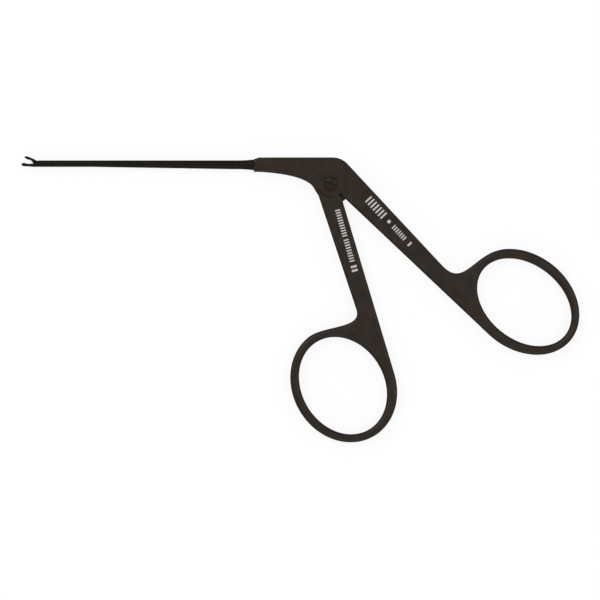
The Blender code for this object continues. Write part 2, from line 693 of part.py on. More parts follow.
def make_front_handle(finish, etched):
    """The front handle turns on the main pivot. Its thin lever runs in the head's slot."""
    outline, rolls = zip(*front_outline())
    handle = add_object("front_handle", rolled_plate(outline, rolls, FRONT_HOLE.whole(), RING_ROLL), finish)
    join(handle, prism(lever_outline(), MID - TANG_THICKNESS / 2, MID + TANG_THICKNESS / 2), finish)
    hole = [(SCREW_SHANK_RADIUS + SCREW_CLEARANCE, z) for z in (-CUT_PAST, THICKNESS + CUT_PAST)]
    cut(handle, turned(hole, TURN_STEPS), finish)
    first_mark = polar(FRONT_MARK_REACH, FRONT_MARK_TURN)
    cut(handle, row_of_marks(first_mark, FRONT_MARK_SLOPE, FRONT_MARKS, THICKNESS), etched)
    smooth(handle)
    return handle


def make_pivot_screw(finish):
    """A slotted screw: its head lies in the near cheek, its thread holds in the far one."""
    shank_end = MID - TANG_THICKNESS / 2 + SCREW_CLEARANCE
    profile = [
        (SCREW_THREAD_RADIUS, 0.0),
        (SCREW_THREAD_RADIUS, shank_end),
        (SCREW_SHANK_RADIUS, shank_end),
        (SCREW_SHANK_RADIUS, THICKNESS - SCREW_HEAD_DEPTH),
        (SCREW_HEAD_RADIUS, THICKNESS - SCREW_HEAD_DEPTH),
        (SCREW_HEAD_RADIUS, THICKNESS),
        (SCREW_EDGE_RADIUS, THICKNESS + SCREW_EDGE_PROUD),
        (SCREW_FLAT_RADIUS, THICKNESS + SCREW_HEAD_PROUD),
    ]
    screw = add_object("pivot_screw", turned(profile, TURN_STEPS), finish)
    along = polar(SCREW_HEAD_RADIUS * 2, SCREW_SLOT_TURN)
    across = polar(SCREW_SLOT_WIDTH / 2, SCREW_SLOT_TURN + 90)
    slot = [along + across, -along + across, -along - across, along - across]
    floor = THICKNESS + SCREW_HEAD_PROUD - SCREW_SLOT_DEPTH
    cut(screw, prism(slot, floor, THICKNESS + CUT_PAST), finish)
    smooth(screw)
    return screw


def shaft_radius(x):
    """The shaft's outer radius: even at the front, tapered to the root, then flared against the nose."""
    if x <= TAPER_START:
        return SHAFT_RADIUS_FRONT
    taper = min(1.0, (x - TAPER_START) / (TAPER_END - TAPER_START))
    root = SHAFT_RADIUS_FRONT + (SHAFT_RADIUS_ROOT - SHAFT_RADIUS_FRONT) * taper
    return root + (FLARE_RADIUS - SHAFT_RADIUS_ROOT) * flare_share(x)


def flare_share(x):
    """How much of the flare against the nose is reached here, from 0 to 1."""
    return min(1.0, max(0.0, (x - (NOSE_X - FLARE_LENGTH)) / FLARE_LENGTH)) ** 2


def cut_circle(x, flat, low, high, half_width, upper):
    """One section across a bar: an ellipse trimmed by a flat, keeping what lies above or below it.

    The ellipse reaches the half width at its middle, which lies halfway between low and high.
    """
    centre, tall = (low + high) / 2, (high - low) / 2
    rise = math.asin(max(-0.98, min(0.98, (flat - centre) / tall)))
    start, end = (rise, math.pi - rise) if upper else (math.pi - rise, 2 * math.pi + rise)
    found = []
    for k in range(SECTION_STEPS + 1):
        angle = start + (end - start) * k / SECTION_STEPS
        found.append((x, centre + tall * math.sin(angle), MID + half_width * math.cos(angle)))
    return found


def round_section(x, radius, flat, upper, top=None):
    """A trimmed round section whose top lies on the shaft's upper edge, which is straight up to the flare."""
    crest = SHAFT_TOP + FLARE_RISE * flare_share(x) if top is None else top
    return cut_circle(x, flat, crest - 2 * radius, crest, radius, upper)


def shaft_stations(start, end):
    """Places along the shaft where its radius changes its course."""
    flare = [NOSE_X - FLARE_LENGTH * k / FLARE_STEPS for k in range(FLARE_STEPS, 0, -1)]
    return [start] + [x for x in [TAPER_START, TAPER_END] + flare if start < x < end] + [end]


def lower_jaw_sections():
    """Sections of the fixed jaw, from its tip to the bar."""
    found = []
    for share, drop, low, half_width in LOWER_JAW:
        top, bottom = JAW_PIN.y + BITE_HEIGHT - drop, JAW_PIN.y + low
        high = top + (top - bottom) * JAW_ROUNDING
        found.append(cut_circle(JAW_PIN.x - share * JAW_LENGTH, top, bottom, high, half_width, False))
    return found


def make_fixed_shaft(finish):
    """The lower bar with the fixed jaw at its tip, a rail on its back and a plug brazed into the nose."""
    sections = lower_jaw_sections()
    for x in shaft_stations(JAW_PIN.x - JAW_ROOT, NOSE_X - PLUG_CLEARANCE):
        sections.append(round_section(x, shaft_radius(x), SPLIT, False))
    plug_top = BORE_HEIGHT + PLUG_RADIUS
    for x in (NOSE_X - PLUG_CLEARANCE / 2, PLUG_END):
        sections.append(round_section(x, PLUG_RADIUS, SPLIT, False, plug_top))
    shaft = add_object("fixed_shaft", loft(sections), finish)
    join(shaft, rail(0.0, JAW_PIN.x + RAIL_FROM_JAW_PIN, NOSE_X - RAIL_END_FROM_NOSE), finish)
    slot_back = JAW_PIN.x + BLADE_EYE + EYE_GAP_BACK
    slot_front = JAW_PIN.x - BLADE_EYE - EYE_GAP_FRONT
    cut(shaft, blade_slot(slot_front, slot_back, JAW_PIN.y - CUT_PAST, JAW_PIN.y + CUT_PAST), finish)
    cut(shaft, cross_hole(JAW_PIN, JAW_PIN_RADIUS), finish)
    cut(shaft, cup(), finish)
    smooth(shaft)
    return shaft


def rail(clearance, start, end):
    """The T-shaped rail on the fixed bar, or the groove for it when a clearance is given."""
    neck, head = RAIL_NECK_HALF + clearance, RAIL_HEAD_HALF + clearance
    foot = SPLIT - RAIL_ROOT
    step = SPLIT + RAIL_NECK_HEIGHT - clearance
    top = SPLIT + RAIL_NECK_HEIGHT + RAIL_HEAD_HEIGHT + clearance
    half = [(neck, foot), (neck, step), (head, step), (head, top)]
    section = half + [(-z, y) for z, y in reversed(half)]
    return loft([[(x, y, MID + z) for z, y in section] for x in (start, end)])


def blade_slot(front, back, low, high):
    """A saw cut along the middle of a bar for the jaw's thin blade."""
    corners = [Vector((front, low)), Vector((back, low)), Vector((back, high)), Vector((front, high))]
    half = BLADE_HALF + BLADE_CLEARANCE
    return prism(corners, MID - half, MID + half)


def cup():
    """The hollow of a jaw: half of it lies in each jaw when they are closed."""
    bm = bmesh.new()
    bmesh.ops.create_uvsphere(bm, u_segments=PIN_STEPS, v_segments=PIN_STEPS // 2, radius=1.0)
    middle = JAW_PIN + Vector((CUP_FROM_TIP - JAW_LENGTH, BITE_HEIGHT))
    size = Matrix.Diagonal((CUP_LENGTH / 2, CUP_DEPTH, CUP_WIDTH / 2, 1))
    place = Matrix.Translation((middle.x, middle.y, MID))
    bmesh.ops.transform(bm, matrix=place @ size @ Matrix.Rotation(math.pi / 2, 4, "X"), verts=bm.verts)
    return bm


def make_pin(name, place, radius, finish):
    """A plain pin across the shaft, its ends just inside the shaft's round sides."""
    half_span = math.sqrt(SHAFT_RADIUS_FRONT**2 - (SHAFT_TOP - SHAFT_RADIUS_FRONT - place.y) ** 2)
    reach = half_span - PIN_CLEARANCE
    profile = [(radius, MID - reach), (radius, MID + reach)]
    pin = add_object(name, turned(profile, PIN_STEPS, place), finish, (place.x, place.y, MID))
    smooth(pin)
    return pin


def heel_outline():
    """The slider's flat rear end: a rod that deepens into a heel, notched for the lever's ball."""
    low, heel_low = SPLIT + SLIDE_GAP, SPLIT - HEEL_DEPTH
    reach = LEVER_BALL_RADIUS + BALL_CLEARANCE
    front, back = BALL.x - reach - HEEL_WALL, BALL.x + reach + HEEL_WALL
    rod_front = PLUG_END - ROD_LAP
    return (
        [Vector((rod_front, low)), Vector((front - HEEL_EASE, low)), Vector((front, heel_low))]
        + [Vector((BALL.x - reach, heel_low))]
        + arc(BALL, reach, 180, 0, THROAT_STEPS)
        + [Vector((BALL.x + reach, heel_low)), Vector((back, heel_low)), Vector((back, ROD_TOP))]
        + [Vector((rod_front, ROD_TOP))]
    )


def make_slider(finish):
    """The upper bar. It slides forward on the rail to close the jaw, driven by the lever at its heel."""
    low = SPLIT + SLIDE_GAP
    link = JAW_PIN + Vector((LINK_PIN_X, LINK_PIN_Y))
    front = link.x - FORK_NOSE
    shoulder = NOSE_X - STOP_GAP
    sections = [round_section(x, shaft_radius(x), low, True) for x in shaft_stations(front, shoulder)]
    plug_top = BORE_HEIGHT + PLUG_RADIUS
    for x in (shoulder + STOP_GAP / 2, PLUG_END):
        sections.append(round_section(x, PLUG_RADIUS, low, True, plug_top))
    slider = add_object("slider", loft(sections), finish)
    join(slider, prism(heel_outline(), MID - ROD_HALF, MID + ROD_HALF), finish)
    groove_end = NOSE_X - RAIL_END_FROM_NOSE + TRAVEL + RAIL_END_ROOM
    cut(slider, rail(RAIL_CLEARANCE, front - CUT_PAST, groove_end), finish)
    fork_back = link.x + FORK_DEPTH
    cut(slider, blade_slot(front - CUT_PAST, fork_back, low - CUT_PAST, SHAFT_TOP + CUT_PAST), finish)
    cut(slider, cross_hole(link, LINK_PIN_RADIUS), finish)
    cut(slider, fork_trim(front), finish)
    smooth(slider)
    return slider


def cross_hole(place, pin_radius):
    """A cutter for a pin's hole, right across the shaft."""
    profile = [(pin_radius + PIN_CLEARANCE, z) for z in (MID - CUT_PAST, MID + CUT_PAST)]
    return turned(profile, PIN_STEPS, place)


def fork_trim(front):
    """What is filed off the slider's front end, which leans along the back of the open jaw."""
    edge = [Vector((front + cut_back, SPLIT + height)) for height, cut_back in FORK_TRIM]
    corners = [Vector((front - CUT_PAST, edge[-1].y)), Vector((front - CUT_PAST, edge[0].y))]
    return prism(edge + corners, MID - CUT_PAST, MID + CUT_PAST)


def upper_jaw_sections():
    """Sections of the moving jaw while closed, from its tip back."""
    bite = JAW_PIN.y + BITE_HEIGHT + BITE_GAP
    found = []
    for share, rise, back, half_width in UPPER_JAW:
        bottom, top = bite + rise, bite + back
        low = bottom - (top - bottom) * JAW_ROUNDING
        found.append(cut_circle(JAW_PIN.x - share * JAW_LENGTH, bottom, low, top, half_width, True))
    return found


def cam_path(steps):
    """Where the link pin lies in the closed jaw's own frame, from open to closed."""
    found = []
    for k in range(steps + 1):
        share = k / steps
        pin = Vector((LINK_PIN_X - TRAVEL * share, LINK_PIN_Y))
        found.append(JAW_PIN + Matrix.Rotation(math.radians(JAW_OPEN * (1 - share)), 2) @ pin)
    return found


def slot_outline(path, radius, steps):
    """A slot with round ends along a path."""
    ahead, back = (path[-1] - path[-2]).normalized(), (path[0] - path[1]).normalized()
    tip, tail = (math.degrees(math.atan2(d.y, d.x)) for d in (ahead, back))
    left, right = [], []
    for before, here, after in zip(path, path[1:], path[2:]):
        way = (after - before).normalized()
        left.append(here + Vector((-way.y, way.x)) * radius)
        right.append(here - Vector((-way.y, way.x)) * radius)
    return right + arc(path[-1], radius, tip - 90, tip + 90, steps) + left[::-1] + arc(
        path[0], radius, tail - 90, tail + 90, steps
    )


def blade_outline():
    """The jaw's thin blade while closed: an eye on the jaw pin and a tail around the cam slot."""
    opened, closed = cam_path(1)
    wall = LINK_PIN_RADIUS + CAM_CLEARANCE + BLADE_WALL
    eye = arc(JAW_PIN, BLADE_EYE, 180, 360, FILLET_STEPS)
    tail = arc(opened, wall, BLADE_TAIL_START, BLADE_TAIL_END, FILLET_STEPS)
    root_top = JAW_PIN + Vector((-BLADE_ROOT, BLADE_ROOT_TOP))
    root_low = JAW_PIN + Vector((-BLADE_ROOT, BLADE_ROOT_LOW))
    relief = JAW_PIN + Vector((-BLADE_EYE, BLADE_ROOT_LOW - BLADE_EYE))
    return eye + [closed + Vector((wall, 0))] + tail + [root_top, root_low, relief]


def make_upper_jaw(finish):
    """The moving jaw: a cupped beak with a thin blade on the jaw pin. It is drawn closed, then opened."""
    jaw = add_object("upper_jaw", loft(upper_jaw_sections()), finish)
    join(jaw, prism(blade_outline(), MID - BLADE_HALF, MID + BLADE_HALF), finish)
    cut(jaw, cross_hole(JAW_PIN, JAW_PIN_RADIUS), finish)
    slot = slot_outline(cam_path(CAM_STEPS), LINK_PIN_RADIUS + CAM_CLEARANCE, FILLET_STEPS)
    cut(jaw, prism(slot, MID - CUT_PAST, MID + CUT_PAST), finish)
    cut(jaw, cup(), finish)
    origin = Vector((JAW_PIN.x, JAW_PIN.y, MID))
    opened = Matrix.Translation(origin) @ Matrix.Rotation(-math.radians(JAW_OPEN), 4, "Z")
    for made in [jaw] + [m.object for m in jaw.modifiers]:
        made.data.transform(Matrix.Translation(-origin))
        made.matrix_world = opened
    smooth(jaw)
    return jaw


def main():
    clear_scene()
    handle_black = black_finish("handle_black", (0.036, 0.032, 0.028), 0.48)
    shaft_black = black_finish("shaft_black", (0.022, 0.021, 0.02), 0.4)
    pin_black = black_finish("pin_black", (0.03, 0.029, 0.028), 0.35)
    etched = black_finish("etched_mark", (0.55, 0.51, 0.49), 0.7)
    make_rear_handle(handle_black, etched)
    make_front_handle(handle_black, etched)
    make_pivot_screw(pin_black)
    make_fixed_shaft(shaft_black)
    make_slider(shaft_black)
    make_upper_jaw(shaft_black)
    make_pin("jaw_pin", JAW_PIN, JAW_PIN_RADIUS, pin_black)
    make_pin("link_pin", JAW_PIN + Vector((LINK_PIN_X, LINK_PIN_Y)), LINK_PIN_RADIUS, pin_black)


main()
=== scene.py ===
"""Alligator forceps for the ear, dressed for the camera.

Each class builds one piece of the forceps, finer than its CAD solid and in the same place, and gives it
its finish. Lengths are in metres. The main pivot's axis is the Z axis, the forceps lie on their side on
Z = 0, the jaws point along -X, and the finger rings lie towards -Y.
"""

import logging
import math
from abc import ABC, abstractmethod
from collections.abc import Sequence
from dataclasses import dataclass, field
from enum import Enum
from typing import ClassVar

import bmesh
import bpy
from mathutils import Matrix, Vector


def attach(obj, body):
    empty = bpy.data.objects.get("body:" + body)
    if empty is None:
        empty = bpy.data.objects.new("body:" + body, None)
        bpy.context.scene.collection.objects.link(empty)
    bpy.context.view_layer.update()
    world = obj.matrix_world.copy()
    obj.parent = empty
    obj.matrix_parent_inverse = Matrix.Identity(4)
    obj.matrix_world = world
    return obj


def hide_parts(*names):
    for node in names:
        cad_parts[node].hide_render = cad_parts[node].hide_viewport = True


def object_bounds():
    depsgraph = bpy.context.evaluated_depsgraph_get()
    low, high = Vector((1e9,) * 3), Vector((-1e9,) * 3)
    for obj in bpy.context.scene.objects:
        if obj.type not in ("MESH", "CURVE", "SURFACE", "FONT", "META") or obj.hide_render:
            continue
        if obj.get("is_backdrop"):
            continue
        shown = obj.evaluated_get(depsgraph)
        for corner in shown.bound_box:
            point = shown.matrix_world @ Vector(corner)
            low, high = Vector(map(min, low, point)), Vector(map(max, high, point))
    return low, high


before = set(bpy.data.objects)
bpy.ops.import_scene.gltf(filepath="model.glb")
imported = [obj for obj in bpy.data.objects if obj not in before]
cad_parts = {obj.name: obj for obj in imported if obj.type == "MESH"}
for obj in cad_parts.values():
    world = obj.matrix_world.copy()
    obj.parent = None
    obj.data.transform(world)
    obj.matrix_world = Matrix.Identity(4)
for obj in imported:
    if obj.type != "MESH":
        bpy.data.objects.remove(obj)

CAD_BOX = [[float(value) for value in corner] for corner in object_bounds()]
MM = 0.001
CUT_PAST = 2.0 * MM
MITER_LIMIT = 0.5
FLAT_LIMIT = 0.98
SHARP_ANGLE = 32.0
NOISE_MEAN = 0.5
WAVE_FACTOR = 20.0
PIVOT = Vector((0.0, 0.0))
WELD = 0.00005 * MM

log = logging.getLogger("forceps")

Outline = list[Vector]
RolledOutline = list[tuple[Vector, float]]
Section = list[tuple[float, float, float]]
Colour = tuple[float, float, float]


class Body(Enum):
    """The moving bodies of the forceps."""

    FRAME = "frame"
    HANDLE = "handle"
    BAR = "bar"
    JAW = "jaw"


class Slot(Enum):
    """The record's material slots."""

    HANDLE = "handle_black"
    SHAFT = "shaft_black"
    PIN = "pin_black"


class Combining(Enum):
    """What a Boolean does with its second shape."""

    JOIN = "UNION"
    CUT = "DIFFERENCE"
    KEEP = "INTERSECT"


class Lines(Enum):
    """Which way the fine tool marks of a finish run."""

    NONE = "none"
    ALONG = "along"
    AROUND = "around"


@dataclass(frozen=True)
class Fineness:
    """Steps of the round shapes."""

    roll: int = 7
    ring: int = 168
    turn: int = 72
    pin: int = 36
    section: int = 44
    between_sections: int = 4
    cam: int = 4
    fillet: int = 20
    throat: int = 36
    taper: int = 6
    flare: int = 14


@dataclass(frozen=True)
class Layout:
    """Sizes and places that several pieces share."""

    thickness: float = 3.2 * MM
    arm_roll: float = 0.45 * MM
    ring_roll: float = 0.85 * MM
    nose_roll: float = 0.75 * MM
    seam_roll: float = 0.12 * MM
    rim_end: float = 2.1 * MM
    rim_side: float = 2.5 * MM
    nose_to_pivot: float = 19.25 * MM
    head_cover: float = 0.7 * MM
    cheek_radius: float = 3.25 * MM
    cheek_edge_x: float = -3.85 * MM
    cheek_edge_y: float = -1.75 * MM
    seam_angle: float = 207.0
    tang_thickness: float = 1.24 * MM
    tang_radius: float = 2.95 * MM
    lever_root_half: float = 0.92 * MM
    web_reach: float = 5.25 * MM
    web_edge_angle: float = -44.0
    lever_ball_radius: float = 0.55 * MM
    ball_drop: float = 0.05 * MM
    ball_clearance: float = 0.03 * MM
    screw_head_radius: float = 1.6 * MM
    screw_head_depth: float = 0.5 * MM
    screw_shank_radius: float = 1.0 * MM
    screw_thread_radius: float = 0.85 * MM
    screw_clearance: float = 0.03 * MM
    shaft_top: float = 5.9 * MM
    shaft_radius_front: float = 0.81 * MM
    shaft_radius_root: float = 1.1 * MM
    taper_from_jaw_pin: float = 14.4 * MM
    taper_end_from_nose: float = 5.5 * MM
    flare_length: float = 4.2 * MM
    flare_radius: float = 1.36 * MM
    flare_rise: float = 0.24 * MM
    plug_radius: float = 1.15 * MM
    plug_length: float = 9.5 * MM
    plug_clearance: float = 0.03 * MM
    slider_height: float = 0.95 * MM
    slide_gap: float = 0.0005 * MM
    rod_half: float = 0.6 * MM
    rod_top_inset: float = 0.06 * MM
    rod_lap: float = 0.6 * MM
    heel_depth: float = 0.75 * MM
    heel_wall: float = 0.72 * MM
    rail_neck_half: float = 0.18 * MM
    rail_neck_height: float = 0.17 * MM
    rail_head_half: float = 0.34 * MM
    rail_head_height: float = 0.2 * MM
    rail_root: float = 0.15 * MM
    rail_clearance: float = 0.03 * MM
    rail_end_from_nose: float = 4.75 * MM
    rail_end_room: float = 0.12 * MM
    jaw_pin_from_pivot: float = 74.4 * MM
    jaw_pin_depth: float = 0.29 * MM
    jaw_pin_radius: float = 0.15 * MM
    link_pin_x: float = 0.8 * MM
    link_pin_y: float = 0.89 * MM
    link_pin_radius: float = 0.13 * MM
    pin_clearance: float = 0.02 * MM
    bite_height: float = 0.58 * MM
    bite_gap: float = 0.02 * MM
    jaw_length: float = 3.0 * MM
    jaw_open: float = 28.5
    jaw_rounding: float = 0.3
    blade_half: float = 0.25 * MM
    blade_clearance: float = 0.03 * MM
    blade_eye: float = 0.27 * MM
    cup_length: float = 0.8 * MM
    cup_width: float = 0.76 * MM
    cup_depth: float = 0.4 * MM
    cup_from_tip: float = 0.58 * MM
    fine: Fineness = Fineness()

    @property
    def mid(self) -> float:
        """The height of the handles' middle plane."""
        return self.thickness / 2

    @property
    def split(self) -> float:
        """Where the slider and the fixed bar part."""
        return self.shaft_top - self.slider_height

    @property
    def jaw_pin(self) -> Vector:
        """The axis that the moving jaw turns on."""
        return Vector((-self.jaw_pin_from_pivot, self.split - self.jaw_pin_depth))

    @property
    def link_pin(self) -> Vector:
        """The axis of the pin in the slider's fork."""
        return self.jaw_pin + Vector((self.link_pin_x, self.link_pin_y))

    @property
    def nose_x(self) -> float:
        """Where the head begins and the bare shaft ends."""
        return -self.nose_to_pivot

    @property
    def bore_height(self) -> float:
        """The height of the shaft's axis in the nose."""
        return self.shaft_top - self.shaft_radius_root

    @property
    def head_top(self) -> float:
        """The straight upper edge of the head."""
        return self.shaft_top + self.head_cover

    @property
    def plug_end(self) -> float:
        """How far the shaft reaches into the nose."""
        return self.nose_x + self.plug_length

    @property
    def rod_top(self) -> float:
        """The upper face of the slider's rod inside the head."""
        reach = math.sqrt(self.plug_radius**2 - self.rod_half**2)
        return self.bore_height + reach - self.rod_top_inset

    @property
    def travel(self) -> float:
        """How far the slider moves while the jaw closes."""
        start = math.atan2(self.link_pin_y, self.link_pin_x)
        return self.link_pin_x - self.link_pin_y / math.tan(start + math.radians(self.jaw_open))

    @property
    def lever_arm(self) -> float:
        """How far the lever's ball stands from the main pivot."""
        return self.split - self.ball_drop

    @property
    def lever_tilt(self) -> float:
        """How far the lever leans back at rest, in radians."""
        return self.travel / self.lever_arm / 2

    @property
    def lever_axis(self) -> Vector:
        """The way from the pivot to the lever's ball."""
        return Vector((math.sin(self.lever_tilt), math.cos(self.lever_tilt)))

    @property
    def lever_side(self) -> Vector:
        """The way across the lever, towards the rings."""
        return Vector((math.cos(self.lever_tilt), -math.sin(self.lever_tilt)))

    @property
    def ball(self) -> Vector:
        """The middle of the lever's ball."""
        return self.lever_axis * self.lever_arm

    @property
    def taper_ends(self) -> tuple[float, float]:
        """Where the shaft's taper starts and where it ends."""
        return self.jaw_pin.x + self.taper_from_jaw_pin, self.nose_x - self.taper_end_from_nose

    def flare_share(self, x: float) -> float:
        """How much of the flare against the nose is reached at x, from 0 to 1."""
        return clamp((x - (self.nose_x - self.flare_length)) / self.flare_length) ** 2

    def shaft_radius(self, x: float) -> float:
        """The shaft's outer radius, which is even, then tapered, then flared.

        Args:
            x: The place along the shaft.

        Returns:
            The radius there.
        """
        start, end = self.taper_ends
        taper = clamp((x - start) / (end - start))
        root = self.shaft_radius_front + (self.shaft_radius_root - self.shaft_radius_front) * taper
        return root + (self.flare_radius - self.shaft_radius_root) * self.flare_share(x)

    def stations(self, start: float, end: float) -> list[float]:
        """Places along the shaft at which it gets a section.

        Args:
            start: The first place.
            end: The last place.

        Returns:
            The places in order, both ends included.
        """
        low, high = self.taper_ends
        taper = [low + (high - low) * k / self.fine.taper for k in range(self.fine.taper + 1)]
        flare = [self.nose_x - self.flare_length * k / self.fine.flare for k in range(self.fine.flare, 0, -1)]
        return [start] + [x for x in taper + flare if start < x < end] + [end]


def clamp(value: float, low: float = 0.0, high: float = 1.0) -> float:
    """The value, kept between two limits."""
    return min(high, max(low, value))


def polar(radius: float, degrees: float) -> Vector:
    """The point at this radius from the main pivot and this angle from +X."""
    angle = math.radians(degrees)
    return Vector((radius * math.cos(angle), radius * math.sin(angle)))


def arc(centre: Vector, radius: float, start: float, end: float, steps: int) -> Outline:
    """Points along an arc from one angle to another, in degrees, both ends included."""
    return [centre + polar(radius, start + (end - start) * k / steps) for k in range(steps + 1)]


def fillet(before: Vector, corner: Vector, after: Vector, radius: float, steps: int) -> Outline:
    """The round that joins two edges.

    Args:
        before: A point on the first edge.
        corner: Where the edges would meet.
        after: A point on the second edge.
        radius: The round's radius.
        steps: How many steps to take.

    Returns:
        The points of the round, from the first edge to the second.
    """
    back, on = (before - corner).normalized(), (after - corner).normalized()
    half = math.acos(clamp(back.dot(on), -1.0)) / 2
    reach = radius / math.tan(half)
    centre = corner + (back + on).normalized() * (radius / math.sin(half))
    first, last = corner + back * reach - centre, corner + on * reach - centre
    turn = first.angle_signed(last)
    return [centre + Matrix.Rotation(-turn * k / steps, 2) @ first for k in range(steps + 1)]


def bezier(start: Vector, leave: Vector, arrive: Vector, end: Vector, steps: int) -> Outline:
    """Points along a cubic curve.

    Args:
        start: Where it starts.
        leave: The handle at its start.
        arrive: The handle at its end.
        end: Where it ends.
        steps: How many steps to take.

    Returns:
        The points, both ends included.
    """
    found = []
    for k in range(steps + 1):
        t = k / steps
        near = start * (1 - t) ** 3 + leave * 3 * t * (1 - t) ** 2
        found.append(near + arrive * 3 * t**2 * (1 - t) + end * t**3)
    return found


def beside(point: Vector, slope: float, ahead: float, aside: float) -> Vector:
    """The point that lies ahead along a slope, in degrees, and to the left of it."""
    return point + polar(ahead, slope) + polar(aside, slope + 90)


def curve_through(rows: Sequence[Sequence[float]], steps: int) -> list[list[float]]:
    """A smooth run of rows through the given ones.

    Args:
        rows: Rows of numbers, such as the measures of a shape's sections.
        steps: How many steps to take from each row to the next.

    Returns:
        The given rows with others between them.
    """
    found = []
    for k in range(len(rows) - 1):
        before, after = rows[max(0, k - 1)], rows[min(len(rows) - 1, k + 2)]
        for step in range(steps):
            t = step / steps
            row = []
            for a, b, c, d in zip(before, rows[k], rows[k + 1], after):
                bend = (c - a) * t + (2 * a - 5 * b + 4 * c - d) * t**2 + (3 * b - a - 3 * c + d) * t**3
                row.append(b + bend / 2)
            found.append(row)
    return found + [list(rows[-1])]


@dataclass(frozen=True)
class Ellipse:
    """A finger ring's outline: a turned ellipse."""

    centre: Vector
    long: float
    short: float
    turn: float
    steps: int

    def at(self, angle: float) -> Vector:
        """The point at this angle, in radians, counted before the ellipse is turned."""
        local = Vector((self.long * math.cos(angle), self.short * math.sin(angle)))
        return self.centre + Matrix.Rotation(math.radians(self.turn), 2) @ local

    def touch(self, point: Vector, side: int) -> float:
        """Where a straight line from a point touches the ellipse.

        Args:
            point: A point outside the ellipse.
            side: +1 or -1, for the two lines that touch it.

        Returns:
            The angle of the place that it touches.
        """
        local = Matrix.Rotation(-math.radians(self.turn), 2) @ (point - self.centre)
        unit = Vector((local.x / self.long, local.y / self.short))
        return math.atan2(unit.y, unit.x) + side * math.acos(1 / unit.length)

    def way(self, angle: float) -> Vector:
        """The counterclockwise direction of the outline at this angle."""
        local = Vector((-self.long * math.sin(angle), self.short * math.cos(angle)))
        return (Matrix.Rotation(math.radians(self.turn), 2) @ local).normalized()

    def between(self, start: float, end: float) -> Outline:
        """Points counterclockwise from one angle to another.

        Args:
            start: The first angle, in radians.
            end: The last angle.

        Returns:
            The points, both ends included.
        """
        span = (end - start) % (2 * math.pi)
        steps = max(2, round(self.steps * span / (2 * math.pi)))
        return [self.at(start + span * k / steps) for k in range(steps + 1)]

    def whole(self) -> Outline:
        """Points all round, counterclockwise."""
        return [self.at(2 * math.pi * k / self.steps) for k in range(self.steps)]


def with_roll(points: Outline, start: float, end: float | None = None) -> RolledOutline:
    """Gives each point of an outline the radius of its rolled edge.

    Args:
        points: The outline's points.
        start: The radius at the first point.
        end: The radius at the last point, or None for an even one.

    Returns:
        Pairs of a point and its radius.
    """
    last = start if end is None else end
    steps = max(1, len(points) - 1)
    return [(point, start + (last - start) * k / steps) for k, point in enumerate(points)]


def spread(outline: RolledOutline, spacing: float) -> RolledOutline:
    """Adds points along the long edges of an outline, so that its faces stay well shaped.

    Args:
        outline: A closed outline.
        spacing: The longest edge that is left whole.

    Returns:
        The outline with its long edges divided.
    """
    found = []
    for k, (point, roll) in enumerate(outline):
        after, next_roll = outline[(k + 1) % len(outline)]
        parts = max(1, math.ceil((after - point).length / spacing))
        for part in range(parts):
            share = part / parts
            found.append((point.lerp(after, share), roll + (next_roll - roll) * share))
    return found


def miters(outline: Outline) -> list[Vector]:
    """The inward step at each point of a closed outline that moves both its edges in by one unit.

    Args:
        outline: The outline, counterclockwise.

    Returns:
        One step for each point.
    """
    found = []
    for k, point in enumerate(outline):
        before = (point - outline[k - 1]).normalized()
        after = (outline[(k + 1) % len(outline)] - point).normalized()
        normals = [Vector((-edge.y, edge.x)) for edge in (before, after)]
        middle = (normals[0] + normals[1]).normalized()
        found.append(middle / max(MITER_LIMIT, middle.dot(normals[1])))
    return found


